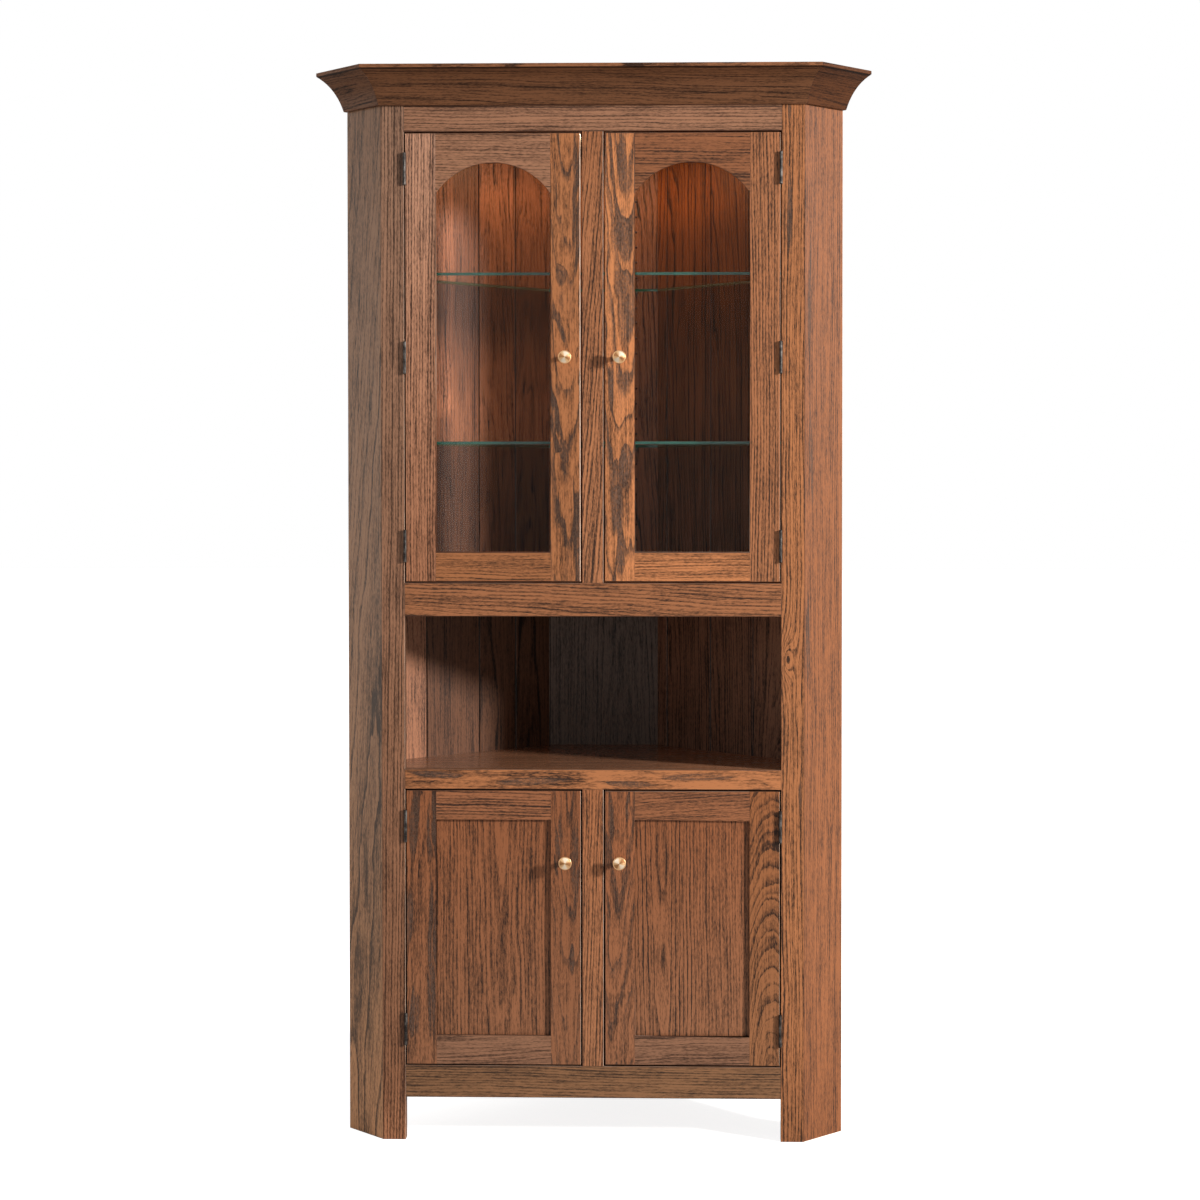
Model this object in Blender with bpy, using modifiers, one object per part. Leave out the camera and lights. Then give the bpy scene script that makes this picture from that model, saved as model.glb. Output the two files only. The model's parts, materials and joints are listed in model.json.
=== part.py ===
"""Corner china cabinet with arched glass doors, an open niche and panelled doors below.

Metres, +Z up. The face frame looks along -Y and the two room walls meet behind it.
The origin lies on the floor, in the middle of the cabinet's bounding box.
"""
import math

import bmesh
import bpy
from mathutils import Matrix, Vector

# Heights of the face frame, from the floor up
FOOT_HEIGHT = 0.0825
BOTTOM_RAIL_HEIGHT = 0.0618
LOWER_OPENING_HEIGHT = 0.5344
COUNTER_RAIL_HEIGHT = 0.0387
NICHE_HEIGHT = 0.2941
MIDDLE_RAIL_HEIGHT = 0.0645
UPPER_OPENING_HEIGHT = 0.8641
TOP_RAIL_REVEAL = 0.0494
CROWN_HEIGHT = 0.0675

# Widths of the face frame and the case
OPENING_WIDTH = 0.3413
MULLION_WIDTH = 0.0410
STILE_WIDTH = 0.0442
RETURN_WIDTH = 0.1085
BODY_DEPTH = 0.4397
FRAME_THICKNESS = 0.0200
BACK_THICKNESS = 0.0127
RABBET_DEPTH = 0.0090
PANEL_THICKNESS = 0.0180
CEILING_HEIGHT_ABOVE_OPENING = 0.0450
BODY_TOP_BELOW_CROWN_TOP = 0.0100

# Back boards, the joints between them and the holes for the shelf pegs
VEE_WIDTH = 0.0044
VEE_DEPTH = 0.0022
LEFT_JOINT_SHARES = (0.187, 0.386, 0.665, 0.925)
RIGHT_JOINT_SHARES = (0.057, 0.322, 0.570, 0.825)
PEG_PITCH = 0.03175
PEG_RADIUS = 0.0025
PEG_REACH = 0.0090
PEG_HOLE_DEPTH = 0.0080
REAR_PEG_SHARE = 0.6045
WALL_PEG_INSET = 0.0550
PEG_ROWS_OUTWARD = 6
PEG_ROWS_INWARD = 4
WOODEN_SHELF_HOLE_COUNT = 2
PEG_SIDES = 8

# Shelves, measured from the floor of their own compartment
UPPER_GLASS_SHELF_HEIGHT = 0.5942
LOWER_GLASS_SHELF_HEIGHT = 0.2668
WOODEN_SHELF_HEIGHT = 0.2620
GLASS_SHELF_THICKNESS = 0.0060
WOODEN_SHELF_THICKNESS = 0.0180
GLASS_SHELF_SETBACK = 0.0535
WOODEN_SHELF_SETBACK = 0.0480
SHELF_CLEARANCE = 0.0015

# Doors, inset flush in their openings
DOOR_GAP = 0.0028
DOOR_THICKNESS = 0.0200
DOOR_STILE_WIDTH = 0.0575
DOOR_RAIL_WIDTH = 0.0560
ARCH_RISE = 0.0590
ARCH_STEPS = 20
GLASS_THICKNESS = 0.0040
GLASS_RECESS = 0.0070
GLASS_LAP = 0.0090
STOP_WIDTH = 0.0085
DOOR_PANEL_THICKNESS = 0.0064
DOOR_PANEL_RECESS = 0.0062
PANEL_TONGUE = 0.0090

# Butt hinges, their barrels standing in front of the door gap
HINGE_HEIGHT = 0.0600
HINGE_INSET = 0.0680
KNUCKLE_RADIUS = 0.0030
KNUCKLE_COUNT = 5
HINGE_PIN_RADIUS = 0.0013
PIN_CLEARANCE = 0.0003
LEAF_THICKNESS = 0.0018
LEAF_WIDTH = 0.0160
LEAF_CLEARANCE = 0.0004
KNUCKLE_SIDES = 12

# Turned brass knobs
KNOB_RADIUS = 0.0128
KNOB_PROJECTION = 0.0245
KNOB_DOME_HEIGHT = 0.0030
KNOB_RIM_HEIGHT = 0.0022
KNOB_UNDERCUT_HEIGHT = 0.0050
KNOB_NECK_RADIUS = 0.0048
KNOB_NECK_HEIGHT = 0.0070
KNOB_BASE_RADIUS = 0.0075
KNOB_BASE_HEIGHT = 0.0020
LOWER_KNOB_DROP = 0.1365
KNOB_STEPS = 20
DOME_STEPS = 4

# Cove crown moulding
CROWN_PROJECTION = 0.0730
CROWN_FOOT = 0.0085
CROWN_FILLET = 0.0070
CROWN_TOP_LAND = 0.0200
CROWN_BACK_HEIGHT = 0.0220
COVE_DEPTH = 0.0100
COVE_STEPS = 10

# Lamp under the top panel and magnetic catches behind the mullions
LAMP_RADIUS = 0.0350
LAMP_HEIGHT = 0.0120
LAMP_LENS_RADIUS = 0.0280
LAMP_LENS_RECESS = 0.0015
LAMP_DEPTH = 0.2000
LAMP_STEPS = 24
CATCH_WIDTH = 0.0640
CATCH_HEIGHT = 0.0140
CATCH_DEPTH = 0.0120
CATCH_DROP = 0.0300

# Gap between pieces that touch, and how far a cut runs past its piece
SEAM = 0.0003
OVERRUN = 0.0050
WELD_DISTANCE = 0.00001

DIAGONAL = math.sqrt(0.5)
MITRE_SLOPE = math.tan(math.radians(22.5))
MITRE_GAP = SEAM / (2 * math.cos(math.radians(22.5)))

# Levels of the face frame
BOTTOM_RAIL_TOP = FOOT_HEIGHT + BOTTOM_RAIL_HEIGHT
LOWER_OPENING_TOP = BOTTOM_RAIL_TOP + LOWER_OPENING_HEIGHT
COUNTER_TOP = LOWER_OPENING_TOP + COUNTER_RAIL_HEIGHT
NICHE_TOP = COUNTER_TOP + NICHE_HEIGHT
UPPER_OPENING_BOTTOM = NICHE_TOP + MIDDLE_RAIL_HEIGHT
UPPER_OPENING_TOP = UPPER_OPENING_BOTTOM + UPPER_OPENING_HEIGHT
CROWN_BOTTOM = UPPER_OPENING_TOP + TOP_RAIL_REVEAL
OVERALL_HEIGHT = CROWN_BOTTOM + CROWN_HEIGHT
BODY_TOP = OVERALL_HEIGHT - BODY_TOP_BELOW_CROWN_TOP
CEILING = UPPER_OPENING_TOP + CEILING_HEIGHT_ABOVE_OPENING
UPPER_SHELF_LEVEL = UPPER_OPENING_BOTTOM + UPPER_GLASS_SHELF_HEIGHT
LOWER_SHELF_LEVEL = UPPER_OPENING_BOTTOM + LOWER_GLASS_SHELF_HEIGHT
WOODEN_SHELF_LEVEL = BOTTOM_RAIL_TOP + WOODEN_SHELF_HEIGHT

# Plan of the case, with the front of the face frame on FACE
MULLION_EDGE = MULLION_WIDTH / 2
OPENING_EDGE = MULLION_EDGE + OPENING_WIDTH
FRAME_EDGE = OPENING_EDGE + STILE_WIDTH
RETURN_RUN = RETURN_WIDTH * DIAGONAL
FACE = -(BODY_DEPTH - CROWN_PROJECTION) / 2
FRAME_BACK = FACE + FRAME_THICKNESS
DOOR_BACK = FACE + DOOR_THICKNESS
CASE_BACK = FACE + BODY_DEPTH
REAR_FACE = CASE_BACK - BACK_THICKNESS
WALL_SUM = FRAME_EDGE + 2 * RETURN_RUN
INNER_WALL_SUM = WALL_SUM - BACK_THICKNESS / DIAGONAL
INNER_RETURN_EDGE = FRAME_EDGE - FRAME_THICKNESS / DIAGONAL
WALL_START = FRAME_THICKNESS - RABBET_DEPTH + SEAM
WALL_OUTER_END = (BODY_DEPTH - RETURN_RUN) / DIAGONAL
WALL_INNER_END = WALL_OUTER_END - BACK_THICKNESS * MITRE_SLOPE

# Hinge line of each door, from the middle of the gap
HINGE_X = OPENING_EDGE - DOOR_GAP / 2
HINGE_Y = FACE - KNUCKLE_RADIUS - SEAM
LEAF_OUTER = LEAF_CLEARANCE / 2 + LEAF_THICKNESS

SIDES = {"left": -1, "right": 1}


def hinge_levels(opening_bottom, opening_top, count):
    """Middles of the hinges of a door, evenly spaced between the lowest and the highest."""
    low = opening_bottom + DOOR_GAP + HINGE_INSET
    high = opening_top - DOOR_GAP - HINGE_INSET
    return [low + (high - low) * index / (count - 1) for index in range(count)]


UPPER_HINGE_LEVELS = hinge_levels(UPPER_OPENING_BOTTOM, UPPER_OPENING_TOP, 3)
LOWER_HINGE_LEVELS = hinge_levels(BOTTOM_RAIL_TOP, LOWER_OPENING_TOP, 2)


def clear_scene():
    for item in list(bpy.data.objects):
        bpy.data.objects.remove(item, do_unlink=True)


def new_collection(name):
    collection = bpy.data.collections.new(name)
    bpy.context.scene.collection.children.link(collection)
    return collection


def new_material(name, color, roughness, metallic=0.0, alpha=1.0):
    material = bpy.data.materials.new(name)
    material.use_nodes = True
    shader = material.node_tree.nodes["Principled BSDF"]
    shader.inputs["Base Color"].default_value = (*color, 1.0)
    shader.inputs["Roughness"].default_value = roughness
    shader.inputs["Metallic"].default_value = metallic
    shader.inputs["Alpha"].default_value = alpha
    material.diffuse_color = (*color, alpha)
    return material


clear_scene()
PARTS = new_collection("corner_china_cabinet")
CUTTERS = new_collection("cutters")


def place(name, mesh, material, collection=None):
    """Give a mesh its object, in the parts unless another collection is named."""
    item = bpy.data.objects.new(name, mesh)
    mesh.materials.clear()
    if material is not None:
        mesh.materials.append(material)
    (collection or PARTS).objects.link(item)
    return item


def place_cutter(name, mesh):
    item = place(name, mesh, None, CUTTERS)
    item.hide_render = True
    item.display_type = "WIRE"
    return item


def evaluated_mesh(item, name):
    """The shape of an object as a plain welded mesh; the object is removed."""
    bpy.context.view_layer.update()
    graph = bpy.context.evaluated_depsgraph_get()
    mesh = bpy.data.meshes.new_from_object(item.evaluated_get(graph))
    mesh.name = name
    mesh.transform(item.matrix_world)
    bpy.data.objects.remove(item, do_unlink=True)
    shape = bmesh.new()
    shape.from_mesh(mesh)
    bmesh.ops.remove_doubles(shape, verts=shape.verts, dist=WELD_DISTANCE)
    bmesh.ops.recalc_face_normals(shape, faces=shape.faces)
    shape.to_mesh(mesh)
    shape.free()
    return mesh


def box_mesh(name, low, high):
    low, high = Vector(low), Vector(high)
    shape = bmesh.new()
    matrix = Matrix.Translation((low + high) / 2) @ Matrix.Diagonal((*(high - low), 1))
    bmesh.ops.create_cube(shape, size=1, matrix=matrix)
    mesh = bpy.data.meshes.new(name)
    shape.to_mesh(mesh)
    shape.free()
    return mesh


def rods_mesh(name, centres, direction, length, radius, sides):
    """Equal round rods in one mesh, each centred on its point along one direction."""
    shape = bmesh.new()
    turn = Vector(direction).to_track_quat("Z", "Y").to_matrix().to_4x4()
    for centre in centres:
        bmesh.ops.create_cone(
            shape, cap_ends=True, segments=sides, radius1=radius, radius2=radius,
            depth=length, matrix=Matrix.Translation(centre) @ turn)
    mesh = bpy.data.meshes.new(name)
    shape.to_mesh(mesh)
    shape.free()
    return mesh


def outline_mesh(name, outlines, thickness):
    """Flat outlines, the first one outside and the rest holes in it, with a thickness along Z."""
    curve = bpy.data.curves.new(name, "CURVE")
    curve.dimensions = "2D"
    curve.fill_mode = "BOTH"
    curve.extrude = thickness / 2
    for outline in outlines:
        spline = curve.splines.new("POLY")
        spline.points.add(len(outline) - 1)
        for point, (x, y) in zip(spline.points, outline):
            point.co = (x, y, 0, 1)
        spline.use_cyclic_u = True
    return evaluated_mesh(place_curve(name, curve), name)


def place_curve(name, curve):
    item = bpy.data.objects.new(name, curve)
    PARTS.objects.link(item)
    return item


def upright_prism(name, outline, bottom, top, material):
    """A plan outline that stands from one level to another."""
    mesh = outline_mesh(name, [outline], top - bottom)
    mesh.transform(Matrix.Translation((0, 0, (bottom + top) / 2)))
    return place(name, mesh, material)


def combine(item, mesh, operation):
    """Cut a mesh out of a piece or join one to it."""
    tool = place_cutter(f"{item.name}_{operation.lower()}_{len(item.modifiers)}", mesh)
    modifier = item.modifiers.new(operation.title(), "BOOLEAN")
    modifier.operation = operation
    modifier.solver = "EXACT"
    modifier.object = tool


def shade_round(mesh):
    mesh.shade_smooth()
    mesh.set_sharp_from_angle(angle=math.radians(40))


def turned_mesh(name, profile, steps):
    """Turn a profile of (radius, height) points, listed from the top down, round Z."""
    mesh = bpy.data.meshes.new(name)
    points = [(radius, 0, height) for radius, height in profile]
    edges = [(index, index + 1) for index in range(len(points) - 1)]
    mesh.from_pydata(points, edges, [])
    item = place(name, mesh, None)
    screw = item.modifiers.new("Turn", "SCREW")
    screw.steps = steps
    screw.render_steps = steps
    screw.use_merge_vertices = True
    screw.merge_threshold = WELD_DISTANCE
    turned = evaluated_mesh(item, name)
    shade_round(turned)
    return turned


def mirrored(outline, side):
    return [(side * x, y) for x, y in outline]


def return_point(along, inward):
    """A plan point of the right return, along its face from the corner and inward from it."""
    x = FRAME_EDGE + (along - inward) * DIAGONAL
    y = FACE + (along + inward) * DIAGONAL
    return x, y


def wall_point(along, inward):
    """A plan point of the right wall, from the return's back edge towards the room's corner."""
    x = FRAME_EDGE + RETURN_RUN - (along + inward) * DIAGONAL
    y = FACE + RETURN_RUN + (along - inward) * DIAGONAL
    return x, y


def make_stile(side_name, material):
    side = SIDES[side_name]
    outline = [
        (OPENING_EDGE, FACE),
        (FRAME_EDGE - MITRE_GAP, FACE),
        (FRAME_EDGE - MITRE_GAP - FRAME_THICKNESS * MITRE_SLOPE, FRAME_BACK),
        (OPENING_EDGE, FRAME_BACK),
    ]
    stile = upright_prism(
        f"{side_name}_front_stile", mirrored(outline, side), 0, BODY_TOP, material)
    for level in UPPER_HINGE_LEVELS + LOWER_HINGE_LEVELS:
        combine(stile, mortise_mesh(side, 1, level), "DIFFERENCE")


def make_return(side_name, material):
    shoulder = RETURN_WIDTH - BACK_THICKNESS - SEAM
    outline = [
        return_point(MITRE_GAP, 0),
        return_point(RETURN_WIDTH, 0),
        return_point(RETURN_WIDTH, FRAME_THICKNESS - RABBET_DEPTH),
        return_point(shoulder, FRAME_THICKNESS - RABBET_DEPTH),
        return_point(shoulder, FRAME_THICKNESS),
        return_point(MITRE_GAP + FRAME_THICKNESS * MITRE_SLOPE, FRAME_THICKNESS),
    ]
    outline = mirrored(outline, SIDES[side_name])
    upright_prism(f"{side_name}_side_return", outline, 0, BODY_TOP, material)


def make_rail(name, bottom, top, material):
    reach = OPENING_EDGE - SEAM
    mesh = box_mesh(name, (-reach, FACE, bottom), (reach, FRAME_BACK, top))
    place(name, mesh, material)


def make_mullion(name, bottom, top, material):
    low = (-MULLION_EDGE, FACE, bottom + SEAM)
    high = (MULLION_EDGE, FRAME_BACK, top - SEAM)
    place(name, box_mesh(name, low, high), material)


def peg_levels(shelf, outward, inward, away):
    """Levels of a column of peg holes round a shelf, without the one that holds its peg."""
    peg = shelf - SEAM - PEG_RADIUS
    rows = [row for row in range(-inward, outward + 1) if row]
    return [peg + away * row * PEG_PITCH for row in rows]


def all_hole_levels():
    rows = (PEG_ROWS_OUTWARD, PEG_ROWS_INWARD)
    levels = peg_levels(UPPER_SHELF_LEVEL, *rows, 1)
    levels += peg_levels(LOWER_SHELF_LEVEL, *rows, -1)
    rows = (WOODEN_SHELF_HOLE_COUNT, WOODEN_SHELF_HOLE_COUNT)
    levels += peg_levels(WOODEN_SHELF_LEVEL, *rows, 1)
    return levels


def add_peg_column(item, places, inward):
    """Bore the peg holes of a back piece and join the pegs that carry its shelves."""
    inward = Vector((*inward, 0))
    hole_length = PEG_HOLE_DEPTH + OVERRUN
    peg_length = PEG_HOLE_DEPTH + PEG_REACH
    hole_shift = inward * (OVERRUN - PEG_HOLE_DEPTH) / 2
    peg_shift = inward * (PEG_REACH - PEG_HOLE_DEPTH) / 2
    holes = [Vector((*spot, level)) + hole_shift
             for spot in places for level in all_hole_levels()]
    shelves = (UPPER_SHELF_LEVEL, LOWER_SHELF_LEVEL, WOODEN_SHELF_LEVEL)
    pegs = [Vector((*spot, level - SEAM - PEG_RADIUS)) + peg_shift
            for spot in places for level in shelves]
    combine(item, rods_mesh(
        item.name + "_holes", holes, inward, hole_length, PEG_RADIUS, PEG_SIDES), "DIFFERENCE")
    combine(item, rods_mesh(
        item.name + "_pegs", pegs, inward, peg_length, PEG_RADIUS, PEG_SIDES), "UNION")


def make_back_boards(side_name, joint_shares, material):
    """Tongued boards along one wall, with a vee on their inner face at every joint."""
    side = SIDES[side_name]
    inner_length = WALL_INNER_END - FRAME_THICKNESS
    inner = [wall_point(WALL_INNER_END - MITRE_GAP, BACK_THICKNESS)]
    for share in joint_shares:
        joint = WALL_INNER_END - share * inner_length
        inner += [
            wall_point(joint + VEE_WIDTH / 2, BACK_THICKNESS),
            wall_point(joint, BACK_THICKNESS - VEE_DEPTH),
            wall_point(joint - VEE_WIDTH / 2, BACK_THICKNESS),
        ]
    inner.append(wall_point(WALL_START, BACK_THICKNESS))
    outer = [wall_point(WALL_START, 0), wall_point(WALL_OUTER_END - MITRE_GAP, 0)]
    boards = upright_prism(
        f"{side_name}_back_boards", mirrored(inner + outer, side), FOOT_HEIGHT, BODY_TOP, material)
    spot = wall_point(FRAME_THICKNESS + WALL_PEG_INSET, BACK_THICKNESS)
    add_peg_column(boards, mirrored([spot], side), (-side * DIAGONAL, -DIAGONAL))


def make_rear_panel(material):
    """The flat panel across the room's corner; it runs down to the floor as the back foot."""
    front = INNER_WALL_SUM + FACE - REAR_FACE - MITRE_GAP
    back = WALL_SUM + FACE - CASE_BACK - MITRE_GAP
    outline = [(-front, REAR_FACE), (front, REAR_FACE), (back, CASE_BACK), (-back, CASE_BACK)]
    panel = upright_prism("rear_panel", outline, 0, BODY_TOP, material)
    spots = [(side * REAR_PEG_SHARE * front, REAR_FACE) for side in SIDES.values()]
    add_peg_column(panel, spots, (0, -1))


def inside_outline(front, clearance):
    """Plan of a shelf or floor that fills the case behind a line, with a gap to its walls."""
    return_edge = INNER_RETURN_EDGE - clearance / DIAGONAL - FACE
    wall_sum = INNER_WALL_SUM - clearance / DIAGONAL + FACE
    rear = REAR_FACE - clearance
    corner_y = (wall_sum - return_edge) / 2
    half = [
        (return_edge + front, front),
        (return_edge + corner_y, corner_y),
        (wall_sum - rear, rear),
    ]
    return half + [(-x, y) for x, y in reversed(half)]


def make_floor(name, top, material):
    outline = inside_outline(FRAME_BACK + SEAM, SEAM)
    upright_prism(name, outline, top - PANEL_THICKNESS, top, material)


def make_shelf(name, bottom, thickness, setback, material):
    outline = inside_outline(FACE + setback, SHELF_CLEARANCE)
    upright_prism(name, outline, bottom, bottom + thickness, material)


def crown_profile():
    """Section of the crown, as distances out from the case and heights above its foot."""
    foot = Vector((CROWN_FOOT, 0))
    rim = Vector((CROWN_PROJECTION, CROWN_HEIGHT - CROWN_FILLET))
    chord = rim - foot
    hollow = Vector((-chord.y, chord.x)).normalized() * COVE_DEPTH
    points = [(SEAM, 0)]
    for step in range(COVE_STEPS + 1):
        share = step / COVE_STEPS
        point = foot + chord * share + hollow * 4 * share * (1 - share)
        points.append((point.x, point.y))
    points += [
        (CROWN_PROJECTION, CROWN_HEIGHT),
        (CROWN_PROJECTION - CROWN_TOP_LAND, CROWN_HEIGHT),
        (SEAM, CROWN_BACK_HEIGHT),
    ]
    return points


def crown_mesh(name, length, mitres):
    """A length of crown along X, its outside at -Y; each mitre lengthens its end as it goes out."""
    mesh = outline_mesh(name, [crown_profile()], length)
    for vertex in mesh.vertices:
        out, up, along = vertex.co
        end = 1 if along > 0 else -1
        mitre = mitres[0 if end < 0 else 1]
        along += end * mitre * (out * MITRE_SLOPE - MITRE_GAP)
        vertex.co = (along, -out, up)
    shape = bmesh.new()
    shape.from_mesh(mesh)
    bmesh.ops.recalc_face_normals(shape, faces=shape.faces)
    shape.to_mesh(mesh)
    shape.free()
    return mesh


def make_crown(material):
    front = crown_mesh("crown_front", 2 * FRAME_EDGE, (1, 1))
    front.transform(Matrix.Translation((0, FACE, CROWN_BOTTOM)))
    place("crown_front", front, material)
    middle = (FRAME_EDGE + RETURN_RUN / 2, FACE + RETURN_RUN / 2)
    for side_name, side in SIDES.items():
        name = f"crown_{side_name}"
        mesh = crown_mesh(name, RETURN_WIDTH, (1, 0) if side > 0 else (0, 1))
        turn = Matrix.Rotation(side * math.radians(45), 4, "Z")
        spot = (side * middle[0], middle[1], CROWN_BOTTOM)
        mesh.transform(Matrix.Translation(spot) @ turn)
        place(name, mesh, material)


def make_lamp(material):
    """Round lamp under the top panel, its lens set back in the rim."""
    profile = [
        (0, 0),
        (LAMP_RADIUS, 0),
        (LAMP_RADIUS, -LAMP_HEIGHT),
        (LAMP_LENS_RADIUS, -LAMP_HEIGHT),
        (LAMP_LENS_RADIUS, LAMP_LENS_RECESS - LAMP_HEIGHT),
        (0, LAMP_LENS_RECESS - LAMP_HEIGHT),
    ]
    mesh = turned_mesh("interior_lamp", profile, LAMP_STEPS)
    mesh.transform(Matrix.Translation((0, FACE + LAMP_DEPTH, CEILING - SEAM)))
    place("interior_lamp", mesh, material)


def make_catch(name, opening_top, material):
    """Magnetic catch across the back of a mullion, where both doors close on it."""
    low = (-CATCH_WIDTH / 2, DOOR_BACK + SEAM, opening_top - CATCH_DROP - CATCH_HEIGHT)
    high = (CATCH_WIDTH / 2, DOOR_BACK + SEAM + CATCH_DEPTH, opening_top - CATCH_DROP)
    place(name, box_mesh(name, low, high), material)


def mortise_mesh(side, outward, level):
    """Shallow pocket for a hinge leaf, in the stile (outward 1) or the door's edge (-1)."""
    x = side * HINGE_X
    floor = side * outward * (LEAF_OUTER + SEAM)
    wall = side * outward * LEAF_CLEARANCE / 2
    half = HINGE_HEIGHT / 2 + SEAM
    low = (x + min(floor, wall), FACE - OVERRUN, level - half)
    high = (x + max(floor, wall), FACE + LEAF_WIDTH + SEAM, level + half)
    return box_mesh("mortise", low, high)


def hinge_half_mesh(name, side, knuckles, is_fixed):
    """A leaf with its knuckles round the hinge line, from the line and the hinge's middle.

    The fixed half carries the pin. The half that moves is bored for it.
    """
    pitch = HINGE_HEIGHT / KNUCKLE_COUNT
    outward = side if is_fixed else -side
    near, far = sorted((outward * LEAF_CLEARANCE / 2, outward * LEAF_OUTER))
    leaf_start = FACE - HINGE_Y
    leaf = place(name, box_mesh(
        name, (near, leaf_start, -HINGE_HEIGHT / 2),
        (far, leaf_start + LEAF_WIDTH, HINGE_HEIGHT / 2)), None)
    for knuckle in knuckles:
        middle = (knuckle + 0.5) * pitch - HINGE_HEIGHT / 2
        half = (pitch - SEAM) / 2
        web = box_mesh("web", (near, 0, middle - half), (far, leaf_start + SEAM, middle + half))
        combine(leaf, web, "UNION")
        barrel = rods_mesh(
            "barrel", [(0, 0, middle)], (0, 0, 1), 2 * half, KNUCKLE_RADIUS, KNUCKLE_SIDES)
        combine(leaf, barrel, "UNION")
    if is_fixed:
        pin = rods_mesh("pin", [(0, 0, 0)], (0, 0, 1),
                        HINGE_HEIGHT - pitch, HINGE_PIN_RADIUS, KNUCKLE_SIDES)
        combine(leaf, pin, "UNION")
    else:
        bore = rods_mesh("bore", [(0, 0, 0)], (0, 0, 1), HINGE_HEIGHT + OVERRUN,
                         HINGE_PIN_RADIUS + PIN_CLEARANCE, KNUCKLE_SIDES)
        combine(leaf, bore, "DIFFERENCE")
    mesh = evaluated_mesh(leaf, name)
    shade_round(mesh)
    return mesh


def make_door_hinges(side_name, door_name, levels, level_names, pivot, material):
    side = SIDES[side_name]
    fixed_knuckles = range(0, KNUCKLE_COUNT, 2)
    moving_knuckles = range(1, KNUCKLE_COUNT, 2)
    fixed = hinge_half_mesh(f"{door_name}_fixed_leaf", side, fixed_knuckles, True)
    moving = hinge_half_mesh(f"{door_name}_moving_leaf", side, moving_knuckles, False)
    for level, level_name in zip(levels, level_names):
        spot = Vector((side * HINGE_X, HINGE_Y, level))
        name = f"{door_name}_{level_name}_hinge"
        place(f"{name}_frame_leaf", fixed, material).location = spot
        leaf = place(f"{name}_door_leaf", moving, material)
        leaf.parent = pivot
        leaf.location = spot - pivot.location


def hang(item, pivot):
    """Parent a piece made in place to its door's pivot."""
    item.parent = pivot
    item.data.transform(Matrix.Translation(-pivot.location))


def door_span(side):
    """Left and right edges of a door, and of the opening in its frame."""
    edges = sorted((side * (MULLION_EDGE + DOOR_GAP), side * (OPENING_EDGE - DOOR_GAP)))
    return edges, [edges[0] + DOOR_STILE_WIDTH, edges[1] - DOOR_STILE_WIDTH]


def arch_points(left, right, spring):
    """The arch from its right springing to its left one, as part of a circle."""
    half = (right - left) / 2
    radius = (half * half + ARCH_RISE * ARCH_RISE) / (2 * ARCH_RISE)
    reach = math.asin(half / radius)
    centre = spring + ARCH_RISE - radius
    angles = [reach * (1 - 2 * step / ARCH_STEPS) for step in range(ARCH_STEPS + 1)]
    return [((left + right) / 2 + radius * math.sin(angle), centre + radius * math.cos(angle))
            for angle in angles]


def rectangle(left, right, bottom, top):
    return [(left, bottom), (right, bottom), (right, top), (left, top)]


def upright_slab(name, outlines, front, back):
    """Outlines drawn on the face of the cabinet, with a thickness from front to back."""
    mesh = outline_mesh(name, outlines, back - front)
    turn = Matrix.Rotation(math.radians(90), 4, "X")
    mesh.transform(Matrix.Translation((0, (front + back) / 2, 0)) @ turn)
    return mesh


def make_door_frame(name, side, bottom, top, hinge_levels, is_arched, material):
    """Stiles and rails glued up as one frame, rabbeted for glass or grooved for a panel."""
    (left, right), (inner_left, inner_right) = door_span(side)
    inner_bottom = bottom + DOOR_RAIL_WIDTH
    inner_top = top - DOOR_RAIL_WIDTH
    if is_arched:
        opening = [(inner_left, inner_bottom), (inner_right, inner_bottom)]
        opening += arch_points(inner_left, inner_right, inner_top - ARCH_RISE)
    else:
        opening = rectangle(inner_left, inner_right, inner_bottom, inner_top)
    outlines = [rectangle(left, right, bottom, top), opening]
    frame = place(name, upright_slab(name, outlines, FACE, DOOR_BACK), material)
    if is_arched:
        lap, near, far = GLASS_LAP, FACE + GLASS_RECESS, DOOR_BACK + OVERRUN
    else:
        lap, near = PANEL_TONGUE, FACE + DOOR_PANEL_RECESS - SEAM
        far = FACE + DOOR_PANEL_RECESS + DOOR_PANEL_THICKNESS + SEAM
    rebate = box_mesh("rebate", (inner_left - lap, near, inner_bottom - lap),
                      (inner_right + lap, far, inner_top + lap))
    combine(frame, rebate, "DIFFERENCE")
    for level in hinge_levels:
        combine(frame, mortise_mesh(side, -1, level), "DIFFERENCE")
    return frame


def make_glazing(door_name, side, bottom, top, pivot, glass, wood):
    """The pane in its rabbet and the bead ring that holds it from behind."""
    inner_left, inner_right = door_span(side)[1]
    reach = GLASS_LAP - SEAM
    low = bottom + DOOR_RAIL_WIDTH
    high = top - DOOR_RAIL_WIDTH
    front = FACE + GLASS_RECESS + SEAM
    back = front + GLASS_THICKNESS
    pane = box_mesh("pane", (inner_left - reach, front, low - reach),
                    (inner_right + reach, back, high + reach))
    hang(place(f"{door_name}_glass_pane", pane, glass), pivot)
    outer = rectangle(inner_left - reach, inner_right + reach, low - reach, high + reach)
    inset = reach - STOP_WIDTH
    inner = rectangle(inner_left - inset, inner_right + inset, low - inset, high + inset)
    stop = upright_slab("stop", [outer, inner], back + SEAM, DOOR_BACK)
    hang(place(f"{door_name}_glass_stop", stop, wood), pivot)


def make_panel(door_name, side, bottom, top, pivot, material):
    inner_left, inner_right = door_span(side)[1]
    reach = PANEL_TONGUE - SEAM
    front = FACE + DOOR_PANEL_RECESS
    low = (inner_left - reach, front, bottom + DOOR_RAIL_WIDTH - reach)
    high = (inner_right + reach, front + DOOR_PANEL_THICKNESS, top - DOOR_RAIL_WIDTH + reach)
    hang(place(f"{door_name}_panel", box_mesh("panel", low, high), material), pivot)


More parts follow.
